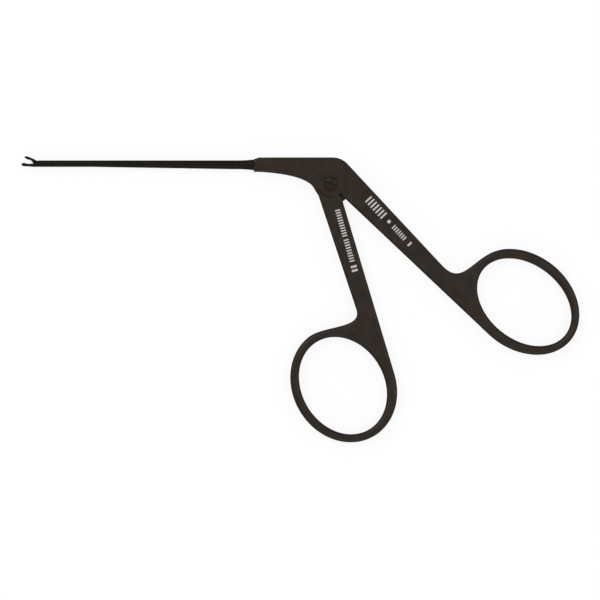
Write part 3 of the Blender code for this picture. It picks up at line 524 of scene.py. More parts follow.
class Shapes:
    """Makes the closed meshes that the pieces are built and cut from."""

    def __init__(self, fine: Fineness) -> None:
        """Keeps how fine round shapes are."""
        self.fine = fine

    def loft(self, sections: Sequence[Section]) -> bmesh.types.BMesh:
        """A closed solid through rings of points.

        Args:
            sections: Rings with the same count of points, in order.

        Returns:
            The solid's mesh.
        """
        made = bmesh.new()
        rings = [[made.verts.new(point) for point in section] for section in sections]
        for low, high in zip(rings, rings[1:]):
            for k in range(len(low)):
                after = (k + 1) % len(low)
                made.faces.new((low[k], low[after], high[after], high[k]))
        made.faces.new(list(reversed(rings[0])))
        made.faces.new(rings[-1])
        return made

    def prism(self, outline: Outline, low: float, high: float) -> bmesh.types.BMesh:
        """An outline in the plane of the handles, made solid between two heights."""
        return self.loft([[(point.x, point.y, z) for point in outline] for z in (low, high)])

    def slab(self, outline: Outline, mid: float, half: float) -> bmesh.types.BMesh:
        """An outline made solid to both sides of a middle height."""
        return self.prism(outline, mid - half, mid + half)

    def rod(
        self, ends: tuple[float, float], height: float, mid: float, radius: float, turn: float = 0.0
    ) -> bmesh.types.BMesh:
        """A round rod along the shaft.

        Args:
            ends: Its front end and its rear end.
            height: How far its axis lies above the main pivot.
            mid: The height of the handles' middle plane.
            radius: Its radius.
            turn: How far it is turned about its axis, in steps of its round.

        Returns:
            The solid's mesh.
        """
        steps = self.fine.turn
        ring = [polar(radius, 360 * (k + turn) / steps) for k in range(steps)]
        return self.loft([[(x, height + point.y, mid + point.x) for point in ring] for x in ends])

    def turned(
        self, profile: Sequence[tuple[float, float]], steps: int, centre: Vector = PIVOT
    ) -> bmesh.types.BMesh:
        """A solid turned about an upright axis.

        Args:
            profile: Pairs of a radius and a height, from bottom to top.
            steps: Steps round the axis.
            centre: Where the axis stands.

        Returns:
            The solid's mesh.
        """
        rings = []
        for radius, height in profile:
            ring = [centre + polar(radius, 360 * k / steps) for k in range(steps)]
            rings.append([(point.x, point.y, height) for point in ring])
        return self.loft(rings)

    def rolled_loops(self, outline: RolledOutline, mid: float) -> list[Section]:
        """Loops up the wall of a plate with rolled edges.

        Args:
            outline: The plate's outline with the radii of its edges.
            mid: The height of the plate's middle.

        Returns:
            Loops of points from the lower face to the upper one.
        """
        inward = miters([point for point, _ in outline])
        loops = []
        for side in (-1, 1):
            for k in range(self.fine.roll + 1):
                turn = math.pi / 2 * (self.fine.roll - k if side < 0 else k) / self.fine.roll
                loop = []
                for (point, roll), step in zip(outline, inward):
                    moved = point + step * roll * (1 - math.cos(turn))
                    loop.append((moved.x, moved.y, mid + side * (mid - roll * (1 - math.sin(turn)))))
                loops.append(loop)
        return loops

    def rolled_plate(self, outline: RolledOutline, hole: RolledOutline, mid: float) -> bmesh.types.BMesh:
        """A plate with rolled edges and one hole.

        Args:
            outline: The outer outline, counterclockwise.
            hole: The hole's outline, counterclockwise.
            mid: The height of the plate's middle.

        Returns:
            The plate's mesh.
        """
        made = bmesh.new()
        rims: dict[int, list[bmesh.types.BMEdge]] = {0: [], -1: []}
        for loops in (self.rolled_loops(outline, mid), self.rolled_loops(hole[::-1], mid)):
            rings = [[made.verts.new(point) for point in loop] for loop in loops]
            for low, high in zip(rings, rings[1:]):
                for k in range(len(low)):
                    after = (k + 1) % len(low)
                    made.faces.new((low[k], low[after], high[after], high[k]))
            for end, edges in rims.items():
                ring = rings[end]
                edges += [made.edges.get((ring[k - 1], ring[k])) for k in range(len(ring))]
        for edges in rims.values():
            bmesh.ops.triangle_fill(made, edges=edges, use_beauty=True)
        return made

    def ball(self, middle: Vector, size: Vector) -> bmesh.types.BMesh:
        """A ball stretched to three radii.

        Args:
            middle: Its middle.
            size: Its radii along X, Y and Z.

        Returns:
            The ball's mesh.
        """
        made = bmesh.new()
        steps = self.fine.turn
        bmesh.ops.create_uvsphere(made, u_segments=steps, v_segments=steps // 2, radius=1.0)
        place = Matrix.Translation(middle) @ Matrix.Diagonal((*size, 1))
        bmesh.ops.transform(made, matrix=place @ Matrix.Rotation(math.pi / 2, 4, "X"), verts=made.verts)
        return made


def in_scene(name: str, data: bpy.types.ID) -> bpy.types.Object:
    """Puts a new object with this data into the scene.

    Args:
        name: The object's name.
        data: Its mesh, light or camera.

    Returns:
        The object.
    """
    made = bpy.data.objects.new(name, data)
    bpy.context.scene.collection.objects.link(made)
    return made


def as_object(name: str, mesh: bmesh.types.BMesh) -> bpy.types.Object:
    """Makes an object of a mesh under construction, which is used up.

    Args:
        name: The object's name.
        mesh: The mesh under construction.

    Returns:
        The object.
    """
    data = bpy.data.meshes.new(name)
    mesh.to_mesh(data)
    mesh.free()
    return in_scene(name, data)


def evaluated(thing: bpy.types.Object) -> bpy.types.Mesh:
    """The plain mesh that an object's modifiers make."""
    graph = bpy.context.evaluated_depsgraph_get()
    return bpy.data.meshes.new_from_object(thing.evaluated_get(graph))


class Piece:
    """A closed mesh that is joined to others and cut by them, and ends as one plain mesh in its place."""

    def __init__(self, name: str, mesh: bmesh.types.BMesh, place: Matrix | None = None) -> None:
        """Starts a piece.

        Args:
            name: The piece's name.
            mesh: Its first solid.
            place: How all its solids are moved before they are used, or None.
        """
        self.place = place or Matrix.Identity(4)
        self.object = self._solid(name, mesh)

    def _solid(self, name: str, mesh: bmesh.types.BMesh) -> bpy.types.Object:
        """Makes an object of a solid, moved into its place with its faces outward."""
        bmesh.ops.transform(mesh, matrix=self.place, verts=mesh.verts)
        bmesh.ops.recalc_face_normals(mesh, faces=mesh.faces)
        return as_object(name, mesh)

    def _settle(self) -> None:
        """Turns what the modifiers make into the piece's plain mesh."""
        made = evaluated(self.object)
        old = self.object.data
        self.object.modifiers.clear()
        self.object.data = made
        bpy.data.meshes.remove(old)

    def _combine(self, mesh: bmesh.types.BMesh, how: Combining) -> None:
        """Joins a solid to the piece, cuts it away, or keeps what both hold.

        Args:
            mesh: The solid.
            how: What is done with it.
        """
        other = self._solid("tool", mesh)
        modifier = self.object.modifiers.new(how.name, "BOOLEAN")
        modifier.object = other
        modifier.operation = how.value
        modifier.solver = "EXACT"
        self._settle()
        bpy.data.objects.remove(other)

    def cut(self, mesh: bmesh.types.BMesh) -> None:
        """Cuts a solid away."""
        self._combine(mesh, Combining.CUT)

    def join(self, mesh: bmesh.types.BMesh) -> None:
        """Joins a solid on."""
        self._combine(mesh, Combining.JOIN)

    def keep(self, mesh: bmesh.types.BMesh) -> None:
        """Keeps only what lies in a solid."""
        self._combine(mesh, Combining.KEEP)

    def dress(self, material: bpy.types.Material, body: Body, slot: Slot, node: str, sharp: float) -> None:
        """Shades the piece, gives it its finish and sets it on its body.

        Args:
            material: The finish.
            body: The body that it rides on.
            slot: The record's slot of the finish. It is not used.
            node: The CAD node that it stands for.
            sharp: The angle from which an edge stays sharp, in degrees.
        """
        welded = bmesh.new()
        welded.from_mesh(self.object.data)
        bmesh.ops.remove_doubles(welded, verts=welded.verts, dist=WELD)
        for vertex in welded.verts:
            vertex.co = [clamp(at, low, high) for at, low, high in zip(vertex.co, *CAD_BOX)]
        welded.to_mesh(self.object.data)
        welded.free()
        self.object.data.materials.clear()
        self.object.data.shade_smooth()
        self.object.data.set_sharp_from_angle(angle=math.radians(sharp))
        weights = self.object.modifiers.new("weights", "WEIGHTED_NORMAL")
        weights.keep_sharp = True
        self._settle()
        self.object.data.materials.append(material)
        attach(self.object, body.value)
        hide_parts(node)
        log.info("%s: %d faces, on %s", self.object.name, len(self.object.data.polygons), body.value)


class Wire:
    """A shader socket that takes part in Python expressions. Each operator adds a Math node."""

    def __init__(self, paint: "Paint", socket: bpy.types.NodeSocket) -> None:
        """Keeps the socket and the material that it belongs to."""
        self.paint = paint
        self.socket = socket

    def _maths(self, operation: str, first: "Wire | float", second: "Wire | float") -> "Wire":
        """Adds a Math node of this operation and gives its result."""
        return self.paint.node("ShaderNodeMath", {"operation": operation}, {0: first, 1: second})

    def __add__(self, other: "Wire | float") -> "Wire":
        """This plus the other."""
        return self._maths("ADD", self, other)

    def __radd__(self, other: float) -> "Wire":
        """A number plus this."""
        return self._maths("ADD", other, self)

    def __sub__(self, other: "Wire | float") -> "Wire":
        """This less the other."""
        return self._maths("SUBTRACT", self, other)

    def __rsub__(self, other: float) -> "Wire":
        """A number less this."""
        return self._maths("SUBTRACT", other, self)

    def __mul__(self, other: "Wire | float") -> "Wire":
        """This times the other."""
        return self._maths("MULTIPLY", self, other)


class Paint:
    """A material under construction."""

    def __init__(self, name: str) -> None:
        """Starts a material that has only its shader.

        Args:
            name: The material's name.
        """
        self.material = bpy.data.materials.new(name)
        self.material.use_nodes = True
        self.tree = self.material.node_tree
        self.shader = self.tree.nodes["Principled BSDF"]
        self.output = self.tree.nodes["Material Output"]

    def node(
        self,
        kind: str,
        settings: dict[str, object] | None = None,
        inputs: "dict[str | int, Wire | float | Sequence[float]] | None" = None,
        output: str | int = 0,
    ) -> Wire:
        """Adds a node.

        Args:
            kind: The node's type.
            settings: Properties of the node, which are set first.
            inputs: Values or links for its sockets.
            output: The socket to read.

        Returns:
            That socket.
        """
        made = self.tree.nodes.new(kind)
        for name, value in (settings or {}).items():
            setattr(made, name, value)
        for name, value in (inputs or {}).items():
            self.feed(made.inputs[name], value)
        return Wire(self, made.outputs[output])

    def feed(self, socket: bpy.types.NodeSocket, value: "Wire | float | Sequence[float]") -> None:
        """Links a socket to a wire, or sets it to a value.

        Args:
            socket: The socket.
            value: What it gets.
        """
        if isinstance(value, Wire):
            self.tree.links.new(value.socket, socket)
        else:
            socket.default_value = value

    def mix(self, share: "Wire | float", low: "Wire | Colour", high: "Wire | Colour") -> Wire:
        """Mixes two colours.

        Args:
            share: How much of the second colour shows, from 0 to 1.
            low: The first colour.
            high: The second colour.

        Returns:
            The mixed colour.
        """
        colours = [value if isinstance(value, Wire) else (*value, 1) for value in (low, high)]
        inputs = {"Factor": share, 6: colours[0], 7: colours[1]}
        return self.node("ShaderNodeMix", {"data_type": "RGBA"}, inputs, 2)

    def place(self, scale: Sequence[float] = (1, 1, 1), turn: float = 0.0) -> Wire:
        """The surface's place in the object, stretched and turned.

        Args:
            scale: How much the pattern is packed along X, Y and Z.
            turn: How far it is turned about Z, in radians.

        Returns:
            The place, as a vector.
        """
        here = self.node("ShaderNodeTexCoord", output="Object")
        turned = self.node("ShaderNodeMapping", inputs={"Vector": here, "Rotation": (0, 0, turn)})
        return self.node("ShaderNodeMapping", inputs={"Vector": turned, "Scale": scale})

    def noise(self, where: Wire, grain: float, detail: float = 2.0) -> Wire:
        """A noise around 0.5 with spots of the grain's size and finer layers in them."""
        inputs = {"Vector": where, "Scale": 1 / grain, "Detail": detail}
        return self.node("ShaderNodeTexNoise", inputs=inputs)

    def ramp(self, value: Wire, low: float, high: float) -> Wire:
        """Stretches a value so that it goes from 0 to 1 between two limits, and no further."""
        inputs = {"Value": value, "From Min": low, "From Max": high}
        return self.node("ShaderNodeMapRange", {"clamp": True}, inputs)


@dataclass(frozen=True)
class BlackFinish:
    """A hard black treatment on fine steel: a faint mottle, blasted grain and fine tool marks."""

    name: str
    deep: Colour
    pale: Colour
    roughness: float
    mottle: float
    grain: float
    grain_height: float
    roughness_spread: float = 0.12
    metallic: float = 0.85
    edge_shine: float = 0.5
    cloud_share: float = 0.65
    cloud_limits: tuple[float, float] = (0.3, 0.7)
    cloud_detail: float = 3.0
    speck_limits: tuple[float, float] = (0.35, 0.65)
    specks_in_cloud: float = 6.0
    lines: Lines = Lines.NONE
    line_width: float = 0.06 * MM
    line_height: float = 0.0012 * MM
    line_stretch: float = 0.02
    line_waver: float = 0.4
    turn: float = 0.0

    def _tool_marks(self, paint: Paint) -> Wire | None:
        """The fine marks that the tool left, as a value around 0.5, or None."""
        if self.lines is Lines.ALONG:
            where = paint.place((self.line_stretch, 1, 1), self.turn)
            return paint.noise(where, self.line_width, 1.0)
        if self.lines is Lines.AROUND:
            scale = 1 / self.line_width / WAVE_FACTOR
            inputs = {"Vector": paint.place(), "Scale": scale, "Distortion": self.line_waver}
            rings = {"wave_type": "RINGS", "rings_direction": "Z"}
            return paint.node("ShaderNodeTexWave", rings, inputs, "Fac")
        return None

    def material(self) -> bpy.types.Material:
        """Builds the material."""
        paint = Paint(self.name)
        where = paint.place()
        cloud = paint.ramp(paint.noise(where, self.mottle, self.cloud_detail), *self.cloud_limits)
        speck = paint.ramp(paint.noise(where, self.mottle / self.specks_in_cloud), *self.speck_limits)
        share = cloud * self.cloud_share + speck * (1 - self.cloud_share)
        grain = paint.noise(where, self.grain)
        rough = self.roughness + (share - NOISE_MEAN) * self.roughness_spread
        marks = self._tool_marks(paint)
        height = grain * self.grain_height
        if marks is not None:
            height = height + marks * self.line_height
            rough = rough + (marks - NOISE_MEAN) * self.roughness_spread
        shader = paint.shader.inputs
        paint.feed(shader["Base Color"], paint.mix(share, self.deep, self.pale))
        paint.feed(shader["Roughness"], rough)
        shader["Metallic"].default_value = self.metallic
        shader["Specular Tint"].default_value = (self.edge_shine,) * 3 + (1,)
        bump = {"Height": height, "Distance": 1.0, "Strength": 1.0}
        paint.feed(shader["Normal"], paint.node("ShaderNodeBump", inputs=bump))
        return paint.material


@dataclass(frozen=True)
class EtchedFinish:
    """The pale matt grey that a laser leaves on blackened steel, with its fine hatching."""

    name: str = "etched_grey"
    low: Colour = (0.39, 0.36, 0.345)
    high: Colour = (0.61, 0.575, 0.555)
    roughness: float = 0.75
    roughness_spread: float = 0.2
    hatch: float = 0.05 * MM
    hatch_stretch: float = 0.05
    hatch_height: float = 0.002 * MM
    spots: float = 0.12 * MM
    spots_share: float = 0.6
    spots_detail: float = 3.0
    limits: tuple[float, float] = (0.3, 0.7)

    def material(self) -> bpy.types.Material:
        """Builds the material."""
        paint = Paint(self.name)
        spots = paint.noise(paint.place(), self.spots, self.spots_detail)
        hatch = paint.noise(paint.place((self.hatch_stretch, 1, 1)), self.hatch, 1.0)
        share = paint.ramp(spots * self.spots_share + hatch * (1 - self.spots_share), *self.limits)
        shader = paint.shader.inputs
        paint.feed(shader["Base Color"], paint.mix(share, self.low, self.high))
        paint.feed(shader["Roughness"], self.roughness - (share - NOISE_MEAN) * self.roughness_spread)
        bump = {"Height": hatch * self.hatch_height, "Distance": 1.0}
        paint.feed(shader["Normal"], paint.node("ShaderNodeBump", inputs=bump))
        return paint.material


@dataclass(frozen=True)
class Finishes:
    """The finishes of the forceps."""

    handle: BlackFinish = BlackFinish(
        name="blackened_forging",
        deep=(0.0306, 0.0234, 0.0187),
        pale=(0.0430, 0.0340, 0.0284),
        roughness=0.47,
        edge_shine=0.3,
        mottle=2.6 * MM,
        grain=0.14 * MM,
        grain_height=0.0035 * MM,
    )
    shaft: BlackFinish = BlackFinish(
        name="blackened_bar",
        deep=(0.0100, 0.0084, 0.0066),
        pale=(0.0155, 0.0132, 0.0106),
        roughness=0.40,
        mottle=1.6 * MM,
        grain=0.08 * MM,
        grain_height=0.0012 * MM,
        lines=Lines.ALONG,
    )
    jaw: BlackFinish = BlackFinish(
        name="blackened_beak",
        deep=(0.0104, 0.0094, 0.0084),
        pale=(0.0155, 0.0144, 0.0130),
        roughness=0.38,
        mottle=0.7 * MM,
        grain=0.05 * MM,
        grain_height=0.0010 * MM,
        lines=Lines.ALONG,
        line_width=0.03 * MM,
        line_height=0.0006 * MM,
        turn=math.radians(28.5),
    )
    screw: BlackFinish = BlackFinish(
        name="blackened_screw",
        deep=(0.0250, 0.0190, 0.0152),
        pale=(0.0350, 0.0275, 0.0230),
        roughness=0.42,
        roughness_spread=0.10,
        mottle=0.6 * MM,
        grain=0.06 * MM,
        grain_height=0.0010 * MM,
        lines=Lines.AROUND,
    )
    axle: BlackFinish = BlackFinish(
        name="blackened_axle",
        deep=(0.0078, 0.0067, 0.0057),
        pale=(0.0120, 0.0105, 0.0090),
        roughness=0.36,
        roughness_spread=0.10,
        mottle=0.2 * MM,
        grain=0.03 * MM,
        grain_height=0.0006 * MM,
        line_width=0.01 * MM,
        line_height=0.0002 * MM,
        lines=Lines.AROUND,
    )
    etched: EtchedFinish = EtchedFinish()


@dataclass
class Part(ABC):
    """A piece of the forceps, with the CAD node that it stands for, its body and its slot."""

    layout: Layout
    shapes: Shapes
    node: ClassVar[str]
    body: ClassVar[Body]
    slot: ClassVar[Slot]
    sharp: ClassVar[float] = SHARP_ANGLE

    @abstractmethod
    def shape(self) -> Piece:
        """The part as one closed mesh."""

    def build(self, finish: bpy.types.Material) -> None:
        """Builds the part and gives it its finish."""
        self.shape().dress(finish, self.body, self.slot, self.node, self.sharp)


@dataclass
class RingHandle(Part):
    """A handle that is forged as one plate with its finger ring."""

    slot: ClassVar[Slot] = Slot.HANDLE
    rim_shift: tuple[float, float] = (0.0, 0.0)
    edge_spacing: float = 1.5 * MM

    @property
    @abstractmethod
    def hole(self) -> Ellipse:
        """The ring's inside."""

    @property
    def rim(self) -> Ellipse:
        """The ring's outside."""
        hole = self.hole
        centre = hole.centre + Vector(self.rim_shift)
        long, short = hole.long + self.layout.rim_end, hole.short + self.layout.rim_side
        return Ellipse(centre, long, short, hole.turn, hole.steps)

    @abstractmethod
    def outline(self) -> RolledOutline:
        """The handle's outline, counterclockwise, with the radii of its edges."""

    def forging(self, name: str) -> Piece:
        """Makes the whole plate with its ring.

        Args:
            name: The piece's name.

        Returns:
            The piece.
        """
        outline = spread(self.outline(), self.edge_spacing)
        hole = with_roll(self.hole.whole(), self.layout.ring_roll)
        return Piece(name, self.shapes.rolled_plate(outline, hole, self.layout.mid))


@dataclass
class RearHandle(RingHandle):
    """One forging: the rear finger ring, its arm, the slotted head and the nose that takes the shaft."""

    node: ClassVar[str] = "rear_handle"
    body: ClassVar[Body] = Body.FRAME
    nose_height: float = 3.55 * MM
    nose_chamfer_length: float = 1.3 * MM
    nose_chamfer_height: float = 0.42 * MM
    elbow_x: float = 2.6 * MM
    elbow_radius: float = 5.0 * MM
    throat_from_nose: float = 2.3 * MM
    throat_drop: float = 0.05 * MM
    throat_leave: float = 7.2 * MM
    throat_fall: float = 0.55 * MM
    throat_arrive: float = 3.0 * MM
    throat_lean: float = 18.5
    throat_blend: int = 6
    side_clearance: float = 0.06 * MM
    pocket_clearance: float = 0.15 * MM
    pocket_drop: float = 4.0 * MM
    pocket_ease_angle: float = 0.5
    pocket_top_gap: float = 0.1 * MM
    heel_room_front: float = 0.45 * MM
    heel_room_back: float = 0.3 * MM
    lever_room: float = 0.3 * MM
    rod_room: float = 0.075 * MM
    crotch_ease: float = 1.2 * MM
    web_room_angle: float = 0.8
    crotch_slope: float = -46.0
    arm_slope: float = -47.0
    arm_length: float = 43.1 * MM
    shoulder_turn: float = 0.686
    shoulder_leave: float = 7.883 * MM
    shoulder_arrive: float = 8.382 * MM
    shoulder_reach: float = 6.3 * MM
    ring_ahead: float = 1.53 * MM
    ring_aside: float = 6.86 * MM
    ring_long: float = 13.14 * MM
    ring_short: float = 9.3 * MM
    ring_turn: float = 141.4
    rim_shift: tuple[float, float] = (-0.29 * MM, 0.1 * MM)
    bore_relief: float = 0.4 * MM
    seat_chamfer: float = 0.1 * MM

    @property
    def elbow(self) -> Vector:
        """Where the head's top and the arm's back would meet."""
        return Vector((self.elbow_x, self.layout.head_top))

    @property
    def corner(self) -> Vector:
        """Where the arm's back and the ring's side would meet."""
        return self.elbow + polar(self.arm_length, self.arm_slope)

    @property
    def hole(self) -> Ellipse:
        """The ring's inside."""
        end = beside(self.corner, self.arm_slope, self.ring_ahead, self.ring_aside)
        centre = end - polar(self.ring_long, self.ring_turn)
        return Ellipse(centre, self.ring_long, self.ring_short, self.ring_turn, self.shapes.fine.ring)

    def outline(self) -> RolledOutline:
        """The handle's outline: nose, throat, cheeks, arm, ring, shoulder, elbow and top."""
        lay, fine = self.layout, self.shapes.fine
        head_bottom = lay.head_top - self.nose_height
        throat_end = Vector((lay.cheek_edge_x, lay.cheek_edge_y))
        throat_start = Vector((lay.nose_x + self.throat_from_nose, head_bottom - self.throat_drop))
        leave = throat_start + Vector((self.throat_leave, -self.throat_fall))
        arrive = throat_end + polar(self.throat_arrive, 90 + self.throat_lean)
        throat = bezier(throat_start, leave, arrive, throat_end, fine.throat)
        cheek = arc(PIVOT, lay.cheek_radius, lay.seam_angle, 360 + self.crotch_slope, fine.throat)
        inner = self.rim.touch(cheek[-1], 1)
        outer = self.rim.touch(self.corner, -1) - self.shoulder_turn
        back = polar(1.0, self.arm_slope + 180)
        arm = self.corner + back * self.shoulder_reach
        leave = self.rim.at(outer) + self.rim.way(outer) * self.shoulder_leave
        shoulder = bezier(self.rim.at(outer), leave, arm - back * self.shoulder_arrive, arm, fine.throat)
        nose_top = Vector((lay.nose_x + self.nose_chamfer_length, lay.head_top))
        nose_front = Vector((lay.nose_x, lay.head_top - self.nose_chamfer_height))
        nose_bottom = Vector((lay.nose_x, head_bottom))
        nose_step = Vector((lay.nose_roll, 0))
        bend = fillet(self.corner, self.elbow, nose_top, self.elbow_radius, fine.fillet)
        return (
            with_roll([nose_front, nose_bottom], lay.seam_roll)
            + with_roll([nose_bottom + nose_step], lay.nose_roll)
            + with_roll(throat, lay.nose_roll, lay.arm_roll)[: -self.throat_blend]
            + with_roll(throat[-1:] + cheek, lay.seam_roll)
            + with_roll([cheek[-1] + polar(self.crotch_ease, self.crotch_slope)], lay.arm_roll)
            + with_roll(self.rim.between(inner, outer)[:-1], lay.ring_roll)
            + with_roll(shoulder, lay.ring_roll, lay.arm_roll)
            + with_roll(bend, lay.arm_roll)
            + with_roll([nose_top + Vector((self.elbow_radius, 0)), nose_top], lay.arm_roll, lay.nose_roll)
        )

    def pocket(self) -> Outline:
        """The slot in the head: the lever's window, the slider's channel and the open bottom."""
        lay, fine = self.layout, self.shapes.fine
        radius = lay.tang_radius + self.pocket_clearance
        below = radius + self.pocket_drop
        crotch = self.crotch_slope - self.pocket_ease_angle
        heel_low = lay.split - lay.heel_depth - self.pocket_clearance
        front_room = lay.lever_ball_radius + lay.heel_wall + lay.travel + self.heel_room_front
        heel_front = lay.ball.x - front_room
        heel_back = lay.ball.x + lay.lever_ball_radius + lay.heel_wall + self.heel_room_back
        window = lay.lever_root_half + lay.lever_arm * math.sin(lay.lever_tilt) + self.lever_room
        rod_low = lay.split - lay.slide_gap - self.rod_room
        top = lay.rod_top + self.pocket_top_gap
        channel_front = lay.plug_end - lay.rod_lap
        half = math.degrees(math.asin(window / radius))
        web_radius = lay.web_reach + self.pocket_clearance
        web_edge = lay.web_edge_angle + math.degrees(lay.travel / lay.lever_arm) + self.web_room_angle
        corner = polar(below, crotch)
        return (
            [Vector((-radius, -below))]
            + arc(PIVOT, radius, 180, 90 + half, fine.fillet)
            + [Vector((-window, heel_low)), Vector((heel_front, heel_low)), Vector((heel_front, rod_low))]
            + [Vector((channel_front, rod_low)), Vector((channel_front, top)), Vector((heel_back, top))]
            + [Vector((heel_back, heel_low)), Vector((window, heel_low))]
            + arc(PIVOT, radius, 90 - half, web_edge, fine.throat)
            + arc(PIVOT, web_radius, web_edge, crotch, fine.fillet)
            + [corner, Vector((corner.x, -below))]
        )

    def screw_hole(self) -> bmesh.types.BMesh:
        """The stepped hole for the pivot screw, with a chamfer where its head lies."""
        lay = self.layout
        thread = lay.screw_thread_radius + lay.screw_clearance
        shank = lay.screw_shank_radius + lay.screw_clearance
        head = lay.screw_head_radius + lay.screw_clearance
        floor = lay.thickness - lay.screw_head_depth - lay.screw_clearance
        chamfer = self.seat_chamfer
        profile = [
            (thread + chamfer, -chamfer),
            (thread, chamfer / 2),
            (thread, lay.mid),
            (shank, lay.mid),
            (shank, floor),
            (head, floor),
            (head, lay.thickness - chamfer),
            (head + 2 * chamfer, lay.thickness + chamfer),
        ]
        return self.shapes.turned(profile, self.shapes.fine.turn)

    def edge_waste(self, top: bool, near: bool) -> bmesh.types.BMesh:
        """What is dressed off a long edge of the nose, so that its end has round corners.

        Args:
            top: Whether it is an upper edge.
            near: Whether it is on the side with the screw's head.

        Returns:
            The cutter's mesh.
        """
        lay, radius, steps = self.layout, self.layout.nose_roll, self.shapes.fine.roll
        side, out, face = (1 if top else -1), (1 if near else -1), (lay.thickness if near else 0.0)
        level, length = lay.head_top - self.nose_height, lay.nose_roll
        slope = -self.throat_drop / self.throat_from_nose
        if top:
            level, length = lay.head_top - self.nose_chamfer_height, self.nose_chamfer_length
            slope = self.nose_chamfer_height / self.nose_chamfer_length
        sections = []
        for along in (-CUT_PAST, length):
            edge = level + slope * along
            y, z = edge - side * radius, face - out * radius
            turns = [polar(radius, 90 * k / steps) for k in range(steps + 1)]
            section = [(y + side * turn.x, z + out * turn.y) for turn in turns]
            section += [(y, face + out * CUT_PAST), (edge + side * CUT_PAST, face + out * CUT_PAST)]
            section += [(edge + side * CUT_PAST, z)]
            sections.append([(lay.nose_x + along, *point) for point in section])
        return self.shapes.loft(sections)

    def shaft_bore(self) -> bmesh.types.BMesh:
        """The round bore in the nose."""
        lay = self.layout
        ends = (lay.nose_x - CUT_PAST, lay.plug_end + self.bore_relief)
        return self.shapes.rod(ends, lay.bore_height, lay.mid, lay.plug_radius + lay.plug_clearance)

    def shape(self) -> Piece:
        """The handle as one closed mesh."""
        lay = self.layout
        half = lay.tang_thickness / 2 + self.side_clearance
        piece = self.forging("rear_forging")
        piece.cut(self.shaft_bore())
        piece.cut(self.shapes.slab(self.pocket(), lay.mid, half))
        piece.cut(self.screw_hole())
        for top, near in ((True, True), (True, False), (False, True), (False, False)):
            piece.cut(self.edge_waste(top, near))
        return piece


